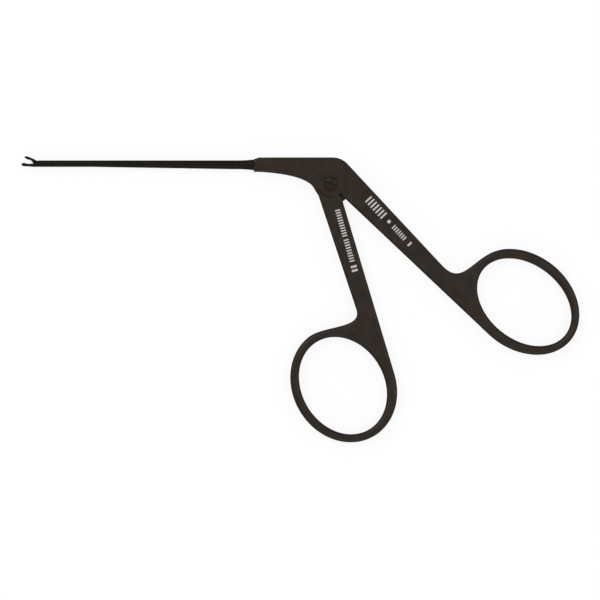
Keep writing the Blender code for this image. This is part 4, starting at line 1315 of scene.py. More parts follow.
@dataclass
class FrontHandle(RingHandle):
    """One forging: the front finger ring, its arm, and the thin tongue with the lever and its ball."""

    node: ClassVar[str] = "front_handle"
    body: ClassVar[Body] = Body.HANDLE
    seam_gap: float = 0.04 * MM
    seam_drop_share: float = 1.1
    seam_turn_share: float = 1.2
    shoulder_length: float = 1.25 * MM
    shoulder_slope: float = -56.0
    arm_length: float = 33.15 * MM
    arm_slope: float = -71.6
    inside_turn: float = 0.39
    inside_arrive: float = 4.891 * MM
    inside_leave: float = 5.217 * MM
    inside_reach: float = 3.104 * MM
    corner_angle: float = -53.5
    corner_ease: float = 1.25 * MM
    ring_ahead: float = 13.95 * MM
    ring_aside: float = -9.19 * MM
    ring_long: float = 12.75 * MM
    ring_short: float = 10.3 * MM
    ring_turn: float = 120.7
    rim_shift: tuple[float, float] = (0.18 * MM, 0.2 * MM)
    tang_reach: float = 1.9 * MM
    tang_edge_angle: float = 3.0
    tang_root_right: float = 10.0
    tang_root_left: float = 40.0
    tang_back_angle: float = 7.0
    tang_foot_angle: float = 23.0
    tang_foot_reach: float = 0.5 * MM
    lever_foot_angle: float = 3.0
    lever_neck_half: float = 0.38 * MM
    ball_arc: float = 260.0

    @property
    def shoulder_end(self) -> Vector:
        """The shoulder's tip, beside the cheeks' edge."""
        lay = self.layout
        return Vector((lay.cheek_edge_x, lay.cheek_edge_y - self.seam_drop_share * self.seam_gap))

    @property
    def edge(self) -> Vector:
        """Where the shoulder turns into the arm's front edge."""
        return self.shoulder_end + polar(self.shoulder_length, self.shoulder_slope)

    @property
    def corner(self) -> Vector:
        """Where the arm's front edge and the ring's side would meet."""
        return self.edge + polar(self.arm_length, self.arm_slope)

    @property
    def hole(self) -> Ellipse:
        """The ring's inside."""
        centre = beside(self.corner, self.arm_slope, self.ring_ahead, self.ring_aside)
        return Ellipse(centre, self.ring_long, self.ring_short, self.ring_turn, self.shapes.fine.ring)

    def outline(self) -> RolledOutline:
        """The handle's outline: shoulder, arm and ring."""
        lay, fine = self.layout, self.shapes.fine
        radius = lay.cheek_radius + self.seam_gap
        seam = lay.seam_angle + math.degrees(self.seam_turn_share * self.seam_gap / radius)
        seat = arc(PIVOT, radius, self.corner_angle, seam - 360, fine.throat)
        outer = self.rim.touch(self.corner, 1) + self.inside_turn
        ease = polar(radius + self.corner_ease, self.corner_angle)
        inner = self.rim.touch(ease, -1)
        down = polar(1.0, self.arm_slope)
        arm = self.corner - down * self.inside_reach
        arrive = self.rim.at(outer) - self.rim.way(outer) * self.inside_arrive
        inside = bezier(arm, arm + down * self.inside_leave, arrive, self.rim.at(outer), fine.throat)
        return (
            with_roll([self.shoulder_end], lay.seam_roll)
            + with_roll([self.edge], lay.arm_roll)
            + with_roll(inside, lay.arm_roll, lay.ring_roll)
            + with_roll(self.rim.between(outer, inner)[1:], lay.ring_roll)
            + with_roll([ease], lay.arm_roll)
            + with_roll(seat, lay.seam_roll)
        )

    def lever(self) -> Outline:
        """The thin upper part: neck, web in the crotch, pivot disc, and the lever with its ball."""
        lay, fine = self.layout, self.shapes.fine
        root = lay.lever_axis * lay.tang_radius
        neck = lay.lever_axis * (lay.lever_arm - 2 * lay.lever_ball_radius)
        spread_angle = math.degrees(math.asin(lay.lever_root_half / lay.tang_radius)) + self.lever_foot_angle
        right_foot = self.corner_angle - self.tang_edge_angle
        ball_start = 90 - math.degrees(lay.lever_tilt) - self.ball_arc / 2
        seat = lay.cheek_radius + self.seam_gap
        inside = seat + self.tang_reach
        back = lay.seam_angle - self.tang_back_angle
        foot_left = polar(inside, lay.seam_angle + self.tang_root_left)
        foot_right = polar(inside, right_foot - self.tang_root_right)
        return (
            [foot_left, foot_right]
            + arc(PIVOT, lay.web_reach, right_foot, lay.web_edge_angle, fine.fillet)
            + arc(PIVOT, lay.tang_radius, lay.web_edge_angle, 90 - spread_angle, fine.throat)
            + [root + lay.lever_side * lay.lever_root_half, neck + lay.lever_side * self.lever_neck_half]
            + arc(lay.ball, lay.lever_ball_radius, ball_start, ball_start + self.ball_arc, fine.throat)
            + [neck - lay.lever_side * self.lever_neck_half, root - lay.lever_side * lay.lever_root_half]
            + arc(PIVOT, lay.tang_radius, 90 + spread_angle, back, fine.fillet)
            + [polar(seat + self.tang_foot_reach, lay.seam_angle + self.tang_foot_angle)]
        )

    def shape(self) -> Piece:
        """The handle as one closed mesh."""
        lay = self.layout
        piece = self.forging("front_forging")
        piece.join(self.shapes.slab(self.lever(), lay.mid, lay.tang_thickness / 2))
        eye = lay.screw_shank_radius + lay.screw_clearance
        profile = [(eye, -CUT_PAST), (eye, lay.thickness + CUT_PAST)]
        piece.cut(self.shapes.turned(profile, self.shapes.fine.turn))
        return piece


@dataclass
class PivotScrew(Part):
    """The slotted screw that both handles turn on."""

    node: ClassVar[str] = "pivot_screw"
    body: ClassVar[Body] = Body.FRAME
    slot: ClassVar[Slot] = Slot.PIN
    sharp: ClassVar[float] = 22.0
    head_proud: float = 0.14 * MM
    edge_radius: float = 1.28 * MM
    edge_proud: float = 0.112 * MM
    flat_radius: float = 0.72 * MM
    rim_chamfer: float = 0.06 * MM
    slot_width: float = 0.42 * MM
    slot_depth: float = 0.34 * MM
    slot_turn: float = -20.0
    end_chamfer: float = 0.08 * MM

    def profile(self) -> list[tuple[float, float]]:
        """Pairs of a radius and a height, from the flush end to the crowned head."""
        lay = self.layout
        shank_end = lay.mid - lay.tang_thickness / 2 + lay.screw_clearance
        seat = lay.thickness - lay.screw_head_depth
        head, chamfer = lay.screw_head_radius, self.rim_chamfer
        return [
            (lay.screw_thread_radius - self.end_chamfer, 0.0),
            (lay.screw_thread_radius, self.end_chamfer),
            (lay.screw_thread_radius, shank_end),
            (lay.screw_shank_radius, shank_end),
            (lay.screw_shank_radius, seat),
            (head, seat),
            (head, lay.thickness - chamfer),
            (head - chamfer, lay.thickness + chamfer / 2),
            (self.edge_radius, lay.thickness + self.edge_proud),
            (self.flat_radius, lay.thickness + self.head_proud),
        ]

    def driver_slot(self) -> Outline:
        """The driver's slot across the head."""
        along = polar(self.layout.screw_head_radius * 2, self.slot_turn)
        across = polar(self.slot_width / 2, self.slot_turn + 90)
        return [along + across, across - along, -along - across, along - across]

    def shape(self) -> Piece:
        """The screw as one closed mesh."""
        top = self.layout.thickness
        floor = top + self.head_proud - self.slot_depth
        piece = Piece("slotted_screw", self.shapes.turned(self.profile(), self.shapes.fine.turn))
        piece.cut(self.shapes.prism(self.driver_slot(), floor, top + CUT_PAST))
        return piece


@dataclass
class Bars(Part):
    """What the bars and the moving jaw share: trimmed round sections, the rail, saw cuts and holes."""

    slot: ClassVar[Slot] = Slot.SHAFT

    def trimmed(self, x: float, flat: float, low: float, high: float, half: float, upper: bool) -> Section:
        """A section across a bar: an ellipse trimmed by a flat.

        Args:
            x: The section's place along the shaft.
            flat: The height of the flat.
            low: The ellipse's lowest height.
            high: The ellipse's greatest height.
            half: The half width at the ellipse's middle.
            upper: Whether what lies above the flat is kept.

        Returns:
            The section's points.
        """
        centre, tall = (low + high) / 2, (high - low) / 2
        rise = math.asin(clamp((flat - centre) / tall, -FLAT_LIMIT, FLAT_LIMIT))
        start, end = (rise, math.pi - rise) if upper else (math.pi - rise, 2 * math.pi + rise)
        steps = self.shapes.fine.section
        found = []
        for k in range(steps + 1):
            angle = start + (end - start) * k / steps
            found.append((x, centre + tall * math.sin(angle), self.layout.mid + half * math.cos(angle)))
        return found

    def round(self, x: float, flat: float, upper: bool) -> Section:
        """A section of the bare shaft.

        Args:
            x: Its place along the shaft.
            flat: The height of the flat.
            upper: Whether it is the slider's.

        Returns:
            The section's points.
        """
        lay = self.layout
        crest = lay.shaft_top + lay.flare_rise * lay.flare_share(x)
        radius = lay.shaft_radius(x)
        return self.trimmed(x, flat, crest - 2 * radius, crest, radius, upper)

    def plug(self, x: float, flat: float, upper: bool) -> Section:
        """A section of the part inside the nose.

        Args:
            x: Its place along the shaft.
            flat: The height of the flat.
            upper: Whether it is the slider's.

        Returns:
            The section's points.
        """
        lay = self.layout
        low, high = lay.bore_height - lay.plug_radius, lay.bore_height + lay.plug_radius
        return self.trimmed(x, flat, low, high, lay.plug_radius, upper)

    def rail(self, clearance: float, start: float, end: float) -> bmesh.types.BMesh:
        """The T-shaped rail on the fixed bar, or the groove for it.

        Args:
            clearance: How much wider the groove is, or 0 for the rail.
            start: The rail's front end.
            end: Its rear end.

        Returns:
            The solid's mesh.
        """
        lay = self.layout
        neck, head = lay.rail_neck_half + clearance, lay.rail_head_half + clearance
        step = lay.split + lay.rail_neck_height - clearance
        top = lay.split + lay.rail_neck_height + lay.rail_head_height + clearance
        half = [(neck, lay.split - lay.rail_root), (neck, step), (head, step), (head, top)]
        section = half + [(-z, y) for z, y in reversed(half)]
        return self.shapes.loft([[(x, y, lay.mid + z) for z, y in section] for x in (start, end)])

    def strip(self, start: float, end: float, low: float, high: float, half: float) -> bmesh.types.BMesh:
        """A straight strip along the middle of the shaft, between two ends and two heights."""
        corners = [Vector((start, low)), Vector((end, low)), Vector((end, high)), Vector((start, high))]
        return self.shapes.slab(corners, self.layout.mid, half)

    def saw_cut(self, start: float, end: float, low: float, high: float) -> bmesh.types.BMesh:
        """The slot along the middle of a bar for the jaw's blade."""
        return self.strip(start, end, low, high, self.layout.blade_half + self.layout.blade_clearance)

    def cross_hole(self, place: Vector, radius: float) -> bmesh.types.BMesh:
        """A pin's hole, right across the shaft.

        Args:
            place: The pin's axis.
            radius: The hole's radius.

        Returns:
            The cutter's mesh.
        """
        mid = self.layout.mid
        profile = [(radius, mid - CUT_PAST), (radius, mid + CUT_PAST)]
        return self.shapes.turned(profile, self.shapes.fine.pin, place)

    def cup(self) -> bmesh.types.BMesh:
        """The hollow that both jaws share when they are closed."""
        lay = self.layout
        x = lay.jaw_pin.x + lay.cup_from_tip - lay.jaw_length
        middle = Vector((x, lay.jaw_pin.y + lay.bite_height, lay.mid))
        return self.shapes.ball(middle, Vector((lay.cup_length / 2, lay.cup_depth, lay.cup_width / 2)))


@dataclass
class FixedBar(Bars):
    """The lower bar with the fixed cupped jaw, the rail on its back and the plug in the nose."""

    node: ClassVar[str] = "fixed_shaft"
    body: ClassVar[Body] = Body.FRAME
    jaw_root: float = 0.1 * MM
    rail_from_jaw_pin: float = 1.2 * MM
    tongue_from_jaw_pin: float = 0.75 * MM
    tongue_height: float = 0.06 * MM
    slot_drop: float = 0.32 * MM
    eye_gap_front: float = 0.11 * MM
    eye_gap_back: float = 0.5 * MM
    # Sections, tip first: share of the jaw's length, drop below the bite plane, height of the underside
    # over the pin, and half width, the last three in millimetres
    sections: tuple[tuple[float, float, float, float], ...] = (
        (1.000, 0.25, 0.30, 0.03),
        (0.995, 0.17, 0.21, 0.14),
        (0.980, 0.11, 0.07, 0.25),
        (0.947, 0.05, -0.04, 0.38),
        (0.900, 0.01, -0.13, 0.48),
        (0.833, 0.00, -0.20, 0.55),
        (0.770, 0.00, -0.23, 0.57),
        (0.717, 0.00, -0.24, 0.55),
        (0.677, 0.03, -0.25, 0.51),
        (0.600, 0.11, -0.26, 0.46),
        (0.500, 0.17, -0.26, 0.44),
        (0.367, 0.20, -0.27, 0.47),
        (0.250, 0.18, -0.305, 0.55),
        (0.150, 0.14, -0.345, 0.68),
        (0.092, 0.14, -0.37, 0.75),
    )

    def jaw(self) -> list[Section]:
        """The jaw's sections, from its tip to the bar."""
        lay, found = self.layout, []
        for share, drop, low, half in curve_through(self.sections, self.shapes.fine.between_sections):
            top = lay.jaw_pin.y + lay.bite_height - drop * MM
            bottom = lay.jaw_pin.y + low * MM
            high = top + (top - bottom) * lay.jaw_rounding
            x = lay.jaw_pin.x - share * lay.jaw_length
            found.append(self.trimmed(x, top, bottom, high, half * MM, False))
        return found

    def tongue(self, start: float, end: float) -> bmesh.types.BMesh:
        """The low tongue in front of the rail, under the blade's tail.

        Args:
            start: Its front end.
            end: Its rear end.

        Returns:
            The solid's mesh.
        """
        lay = self.layout
        low, high = lay.split - lay.rail_root, lay.split + self.tongue_height
        return self.strip(start, end, low, high, lay.rail_neck_half)

    def shape(self) -> Piece:
        """The bar as one closed mesh."""
        lay = self.layout
        root = lay.jaw_pin.x - self.jaw_root
        bare = [self.round(x, lay.split, False) for x in lay.stations(root, lay.nose_x - lay.plug_clearance)]
        ends = (lay.nose_x - lay.plug_clearance / 2, lay.plug_end)
        plug = [self.plug(x, lay.split, False) for x in ends]
        piece = Piece("fixed_bar", self.shapes.loft(self.jaw() + bare + plug))
        rail_start = lay.jaw_pin.x + self.rail_from_jaw_pin
        piece.join(self.rail(0.0, rail_start, lay.nose_x - lay.rail_end_from_nose))
        piece.join(self.tongue(lay.jaw_pin.x + self.tongue_from_jaw_pin, rail_start + lay.rail_root))
        front = lay.jaw_pin.x - lay.blade_eye - self.eye_gap_front
        back = lay.jaw_pin.x + lay.blade_eye + self.eye_gap_back
        piece.cut(self.saw_cut(front, back, lay.jaw_pin.y - self.slot_drop, lay.jaw_pin.y + CUT_PAST))
        piece.cut(self.cross_hole(lay.jaw_pin, lay.jaw_pin_radius))
        piece.cut(self.cup())
        return piece


@dataclass
class SliderBar(Bars):
    """The upper bar. It slides on the rail, holds the link pin in its fork and ends in a notched heel."""

    node: ClassVar[str] = "slider"
    body: ClassVar[Body] = Body.BAR
    fork_nose: float = 0.5 * MM
    fork_reach: float = 0.2 * MM
    fork_depth: float = 0.52 * MM
    stop_gap: float = 0.06 * MM
    heel_ease: float = 0.3 * MM
    # The fork's filed front: height above the split and how far it is cut back, in millimetres
    fork_trim: tuple[tuple[float, float], ...] = (
        (-0.10, 0.00),
        (0.00, 0.00),
        (0.07, -0.07),
        (0.24, -0.08),
        (0.40, -0.08),
        (0.59, 0.00),
        (0.95, 0.20),
        (1.25, 0.30),
    )

    def heel(self) -> Outline:
        """The flat rear end: a rod that deepens into a heel, notched for the lever's ball."""
        lay = self.layout
        low, heel_low = lay.split + lay.slide_gap, lay.split - lay.heel_depth
        reach = lay.lever_ball_radius + lay.ball_clearance
        front, back = lay.ball.x - reach - lay.heel_wall, lay.ball.x + reach + lay.heel_wall
        rod_front = lay.plug_end - lay.rod_lap
        return (
            [Vector((rod_front, low)), Vector((front - self.heel_ease, low)), Vector((front, heel_low))]
            + [Vector((lay.ball.x - reach, heel_low))]
            + arc(lay.ball, reach, 180, 0, self.shapes.fine.throat)
            + [Vector((lay.ball.x + reach, heel_low)), Vector((back, heel_low)), Vector((back, lay.rod_top))]
            + [Vector((rod_front, lay.rod_top))]
        )

    def filing(self, front: float) -> bmesh.types.BMesh:
        """What is filed off the fork, which leans along the back of the open jaw.

        Args:
            front: The fork's front end before it is filed.

        Returns:
            The cutter's mesh.
        """
        lay = self.layout
        start = front + self.fork_reach
        edge = [Vector((start + back * MM, lay.split + height * MM)) for height, back in self.fork_trim]
        corners = [Vector((front - CUT_PAST, edge[-1].y)), Vector((front - CUT_PAST, edge[0].y))]
        return self.shapes.slab(edge + corners, lay.mid, CUT_PAST)

    def shape(self) -> Piece:
        """The bar as one closed mesh."""
        lay = self.layout
        low = lay.split + lay.slide_gap
        front = lay.link_pin.x - self.fork_nose
        shoulder = lay.nose_x - self.stop_gap
        bare = [self.round(x, low, True) for x in lay.stations(front, shoulder)]
        plug = [self.plug(x, low, True) for x in (shoulder + self.stop_gap / 2, lay.plug_end)]
        piece = Piece("slider_bar", self.shapes.loft(bare + plug))
        piece.join(self.shapes.slab(self.heel(), lay.mid, lay.rod_half))
        groove_end = lay.nose_x - lay.rail_end_from_nose + lay.travel + lay.rail_end_room
        piece.cut(self.rail(lay.rail_clearance, front - CUT_PAST, groove_end))
        fork_back = lay.link_pin.x + self.fork_depth
        piece.cut(self.saw_cut(front - CUT_PAST, fork_back, low - CUT_PAST, lay.shaft_top + CUT_PAST))
        piece.cut(self.cross_hole(lay.link_pin, lay.link_pin_radius))
        piece.cut(self.filing(front))
        return piece


@dataclass
class UpperJaw(Bars):
    """The moving cupped jaw with its thin blade. It is drawn closed, then opened about the jaw pin."""

    node: ClassVar[str] = "upper_jaw"
    body: ClassVar[Body] = Body.JAW
    blade_root: float = 0.45 * MM
    blade_root_top: float = 1.24 * MM
    blade_root_low: float = 0.72 * MM
    blade_wall: float = 0.12 * MM
    relief_ahead: float = 0.37 * MM
    relief_height: float = 0.47 * MM
    tail_start: float = -20.0
    tail_end: float = 110.0
    cam_clearance: float = 0.035 * MM
    # Sections while closed, tip first: share of the jaw's length, rise of the bite face and of the back
    # over the bite plane, and half width, the last three in millimetres
    sections: tuple[tuple[float, float, float, float], ...] = (
        (0.980, 0.05, 0.11, 0.03),
        (0.976, 0.02, 0.20, 0.14),
        (0.965, 0.00, 0.32, 0.25),
        (0.930, 0.00, 0.46, 0.38),
        (0.885, 0.00, 0.57, 0.48),
        (0.820, 0.00, 0.63, 0.55),
        (0.765, 0.00, 0.67, 0.57),
        (0.710, 0.00, 0.70, 0.55),
        (0.660, 0.01, 0.72, 0.52),
        (0.600, 0.06, 0.74, 0.46),
        (0.500, 0.15, 0.77, 0.44),
        (0.400, 0.18, 0.80, 0.46),
        (0.300, 0.13, 0.82, 0.53),
        (0.230, 0.05, 0.84, 0.61),
        (0.165, -0.05, 0.85, 0.69),
        (0.120, -0.09, 0.86, 0.73),
        (0.088, -0.09, 0.86, 0.74),
        (0.066, 0.03, 0.86, 0.74),
        (0.042, 0.23, 0.87, 0.72),
        (0.016, 0.43, 0.86, 0.68),
        (-0.004, 0.58, 0.83, 0.58),
    )

    def beak(self) -> list[Section]:
        """The beak's sections while closed, from its tip back."""
        lay, found = self.layout, []
        bite = lay.jaw_pin.y + lay.bite_height + lay.bite_gap
        for share, rise, back, half in curve_through(self.sections, self.shapes.fine.between_sections):
            bottom, top = bite + rise * MM, bite + back * MM
            low = bottom - (top - bottom) * lay.jaw_rounding
            x = lay.jaw_pin.x - share * lay.jaw_length
            found.append(self.trimmed(x, bottom, low, top, half * MM, True))
        return found

    def cam_path(self, steps: int) -> Outline:
        """Where the link pin lies in the closed jaw, from open to closed.

        Args:
            steps: How many steps to take.

        Returns:
            The places, both ends included.
        """
        lay, found = self.layout, []
        for k in range(steps + 1):
            share = k / steps
            pin = Vector((lay.link_pin_x - lay.travel * share, lay.link_pin_y))
            turn = Matrix.Rotation(math.radians(lay.jaw_open * (1 - share)), 2)
            found.append(lay.jaw_pin + turn @ pin)
        return found

    def cam_slot(self) -> Outline:
        """The slot with round ends that the link pin runs in."""
        path = self.cam_path(self.shapes.fine.cam)
        radius, steps = self.layout.link_pin_radius + self.cam_clearance, self.shapes.fine.fillet
        ahead, behind = (path[-1] - path[-2]).normalized(), (path[0] - path[1]).normalized()
        tip, tail = (math.degrees(math.atan2(way.y, way.x)) for way in (ahead, behind))
        left, right = [], []
        for before, here, after in zip(path, path[1:], path[2:]):
            way = (after - before).normalized()
            left.append(here + Vector((-way.y, way.x)) * radius)
            right.append(here - Vector((-way.y, way.x)) * radius)
        front = arc(path[-1], radius, tip - 90, tip + 90, steps)
        rear = arc(path[0], radius, tail - 90, tail + 90, steps)
        return right + front + left[::-1] + rear

    def blade(self) -> Outline:
        """The blade while closed: an eye on the jaw pin and a tail around the cam slot."""
        lay, fine = self.layout, self.shapes.fine
        opened, closed = self.cam_path(1)
        wall = lay.link_pin_radius + self.cam_clearance + self.blade_wall
        eye = arc(lay.jaw_pin, lay.blade_eye, 180, 360, fine.fillet)
        tail = arc(opened, wall, self.tail_start, self.tail_end, fine.fillet)
        root_top = lay.jaw_pin + Vector((-self.blade_root, self.blade_root_top))
        root_low = lay.jaw_pin + Vector((-self.blade_root, self.blade_root_low))
        relief = lay.jaw_pin + Vector((-self.relief_ahead, self.relief_height))
        return eye + [closed + Vector((wall, 0))] + tail + [root_top, root_low, relief]

    def shape(self) -> Piece:
        """The jaw as one closed mesh."""
        lay = self.layout
        pin = Vector((lay.jaw_pin.x, lay.jaw_pin.y, lay.mid))
        turn = Matrix.Rotation(-math.radians(lay.jaw_open), 4, "Z")
        opened = Matrix.Translation(pin) @ turn @ Matrix.Translation(-pin)
        piece = Piece("upper_beak", self.shapes.loft(self.beak()), opened)
        piece.join(self.shapes.slab(self.blade(), lay.mid, lay.blade_half))
        piece.cut(self.cross_hole(lay.jaw_pin, lay.jaw_pin_radius + lay.pin_clearance))
        piece.cut(self.shapes.slab(self.cam_slot(), lay.mid, CUT_PAST))
        piece.cut(self.cup())
        return piece


@dataclass
class CrossPin(Part):
    """A pin pressed across the shaft, its ends dressed to the shaft's round."""

    slot: ClassVar[Slot] = Slot.PIN
    name: str
    node: str
    body: Body
    place: Vector
    radius: float
    proud: float = 0.012 * MM
    press: float = 0.001 * MM
    round_turn: float = 0.5

    def shape(self) -> Piece:
        """The pin as one closed mesh."""
        lay = self.layout
        around = lay.shaft_radius_front + self.proud
        axis = lay.shaft_top - lay.shaft_radius_front
        radius = self.radius + self.press
        profile = [(radius, lay.mid - around), (radius, lay.mid + around)]
        piece = Piece(self.name, self.shapes.turned(profile, self.shapes.fine.pin, self.place))
        ends = (self.place.x - 2 * radius, self.place.x + 2 * radius)
        piece.keep(self.shapes.rod(ends, axis, lay.mid, around, self.round_turn))
        return piece


@dataclass(frozen=True)
class BarGroup:
    """A group of etched bars that are all alike, at a place along its row."""

    start: float
    count: int
    length: float
    width: float
    pitch: float


class EtchedBars:
    """A Geometry Nodes tree that lays a row of plain bars on a surface."""

    CORNER_POINTS = 5

    def __init__(self) -> None:
        """Builds the tree."""
        self.tree = bpy.data.node_groups.new("etched_bars", "GeometryNodeTree")
        self.sockets: dict[str, str] = {}
        self._inputs()
        self._nodes()

    def _inputs(self) -> None:
        """Names the tree's inputs and its output."""
        face = self.tree.interface
        face.new_socket("Geometry", in_out="INPUT", socket_type="NodeSocketGeometry")
        wanted = {
            "Bars": "NodeSocketInt",
            "Pitch": "NodeSocketFloat",
            "Length": "NodeSocketFloat",
            "Width": "NodeSocketFloat",
            "Thickness": "NodeSocketFloat",
            "Corner": "NodeSocketFloat",
            "Start": "NodeSocketVector",
            "Slope": "NodeSocketVector",
            "Finish": "NodeSocketMaterial",
        }
        for name, kind in wanted.items():
            self.sockets[name] = face.new_socket(name, in_out="INPUT", socket_type=kind).identifier
        face.new_socket("Geometry", in_out="OUTPUT", socket_type="NodeSocketGeometry")

    def _node(
        self, kind: str, inputs: dict[str, object], settings: dict[str, object] | None = None
    ) -> bpy.types.NodeSocket:
        """Adds a node.

        Args:
            kind: The node's type.
            inputs: Values or sockets for its inputs. A list links several sockets to one input.
            settings: Properties of the node, which are set first.

        Returns:
            The node's first output.
        """
        made = self.tree.nodes.new(kind)
        for name, value in (settings or {}).items():
            setattr(made, name, value)
        for name, value in inputs.items():
            for one in value if isinstance(value, list) else [value]:
                if isinstance(one, bpy.types.NodeSocket):
                    self.tree.links.new(one, made.inputs[name])
                else:
                    made.inputs[name].default_value = one
        return made.outputs[0]

    def _nodes(self) -> None:
        """Lays a bar with rounded corners at each point of a line, and turns the row into place."""
        given = self.tree.nodes.new("NodeGroupInput").outputs
        size = {"Width": given["Width"], "Height": given["Length"]}
        square = self._node("GeometryNodeCurvePrimitiveQuadrilateral", size)
        corners = {"Count": self.CORNER_POINTS, "Radius": given["Corner"], "Limit Radius": True}
        outline = self._node("GeometryNodeFilletCurve", {"Curve": square, **corners}, {"mode": "POLY"})
        face = self._node("GeometryNodeFillCurve", {"Curve": outline}, {"mode": "NGONS"})
        lift = {"Mesh": face, "Offset Scale": given["Thickness"]}
        raised = self._node("GeometryNodeExtrudeMesh", lift, {"mode": "FACES"})
        under = self._node("GeometryNodeFlipFaces", {"Mesh": face})
        halves = self._node("GeometryNodeJoinGeometry", {"Geometry": [raised, under]})
        bar = self._node("GeometryNodeMergeByDistance", {"Geometry": halves, "Distance": WELD})
        step = self._node("ShaderNodeCombineXYZ", {"X": given["Pitch"]})
        places = {"Count": given["Bars"], "Offset": step}
        line = self._node("GeometryNodeMeshLine", places, {"mode": "OFFSET"})
        row = self._node("GeometryNodeInstanceOnPoints", {"Points": line, "Instance": bar})
        way = {"Translation": given["Start"], "Rotation": given["Slope"]}
        placed = self._node("GeometryNodeTransform", {"Geometry": row, **way})
        both = self._node("GeometryNodeJoinGeometry", {"Geometry": [given["Geometry"], placed]})
        real = self._node("GeometryNodeRealizeInstances", {"Geometry": both})
        done = self._node("GeometryNodeSetMaterial", {"Geometry": real, "Material": given["Finish"]})
        self.tree.links.new(done, self.tree.nodes.new("NodeGroupOutput").inputs[0])

    def add_to(self, host: bpy.types.Object, values: dict[str, object]) -> None:
        """Adds one row of bars to an object.

        Args:
            host: The object.
            values: A value for each of the tree's named inputs.
        """
        modifier = host.modifiers.new("bars", "NODES")
        modifier.node_group = self.tree
        for name, value in values.items():
            modifier[self.sockets[name]] = value


@dataclass
class EtchedRow:
    """A row of plain etched bars along an arm."""

    layout: Layout
    name: str
    body: Body
    reach: float
    turn: float
    slope: float
    groups: tuple[BarGroup, ...]
    thickness: float = 0.03 * MM
    proud: float = 0.004 * MM
    corner: float = 0.09 * MM

    def build(self, bars: EtchedBars, finish: bpy.types.Material) -> None:
        """Builds the row as one mesh.

        Args:
            bars: The tree that lays the bars.
            finish: Their finish.
        """
        host = in_scene(f"{self.name}_host", bpy.data.meshes.new(f"{self.name}_host"))
        for group in self.groups:
            first = polar(self.reach, self.turn) + polar(group.start, self.slope)
            values = {
                "Bars": group.count,
                "Pitch": group.pitch,
                "Length": group.length,
                "Width": group.width,
                "Thickness": self.thickness,
                "Corner": self.corner,
                "Start": (first.x, first.y, self.layout.thickness + self.proud - self.thickness),
                "Slope": (0.0, 0.0, math.radians(self.slope)),
                "Finish": finish,
            }
            bars.add_to(host, values)
        mesh = evaluated(host)
        bpy.data.objects.remove(host)
        made = in_scene(self.name, mesh)
        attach(made, self.body.value)
        log.info("%s: %d faces, on %s", made.name, len(mesh.polygons), self.body.value)


@dataclass(frozen=True)
class Lamp:
    """A square lamp, with its place, the length of its sides and its power in watts."""

    name: str
    place: tuple[float, float, float]
    size: float
    power: float


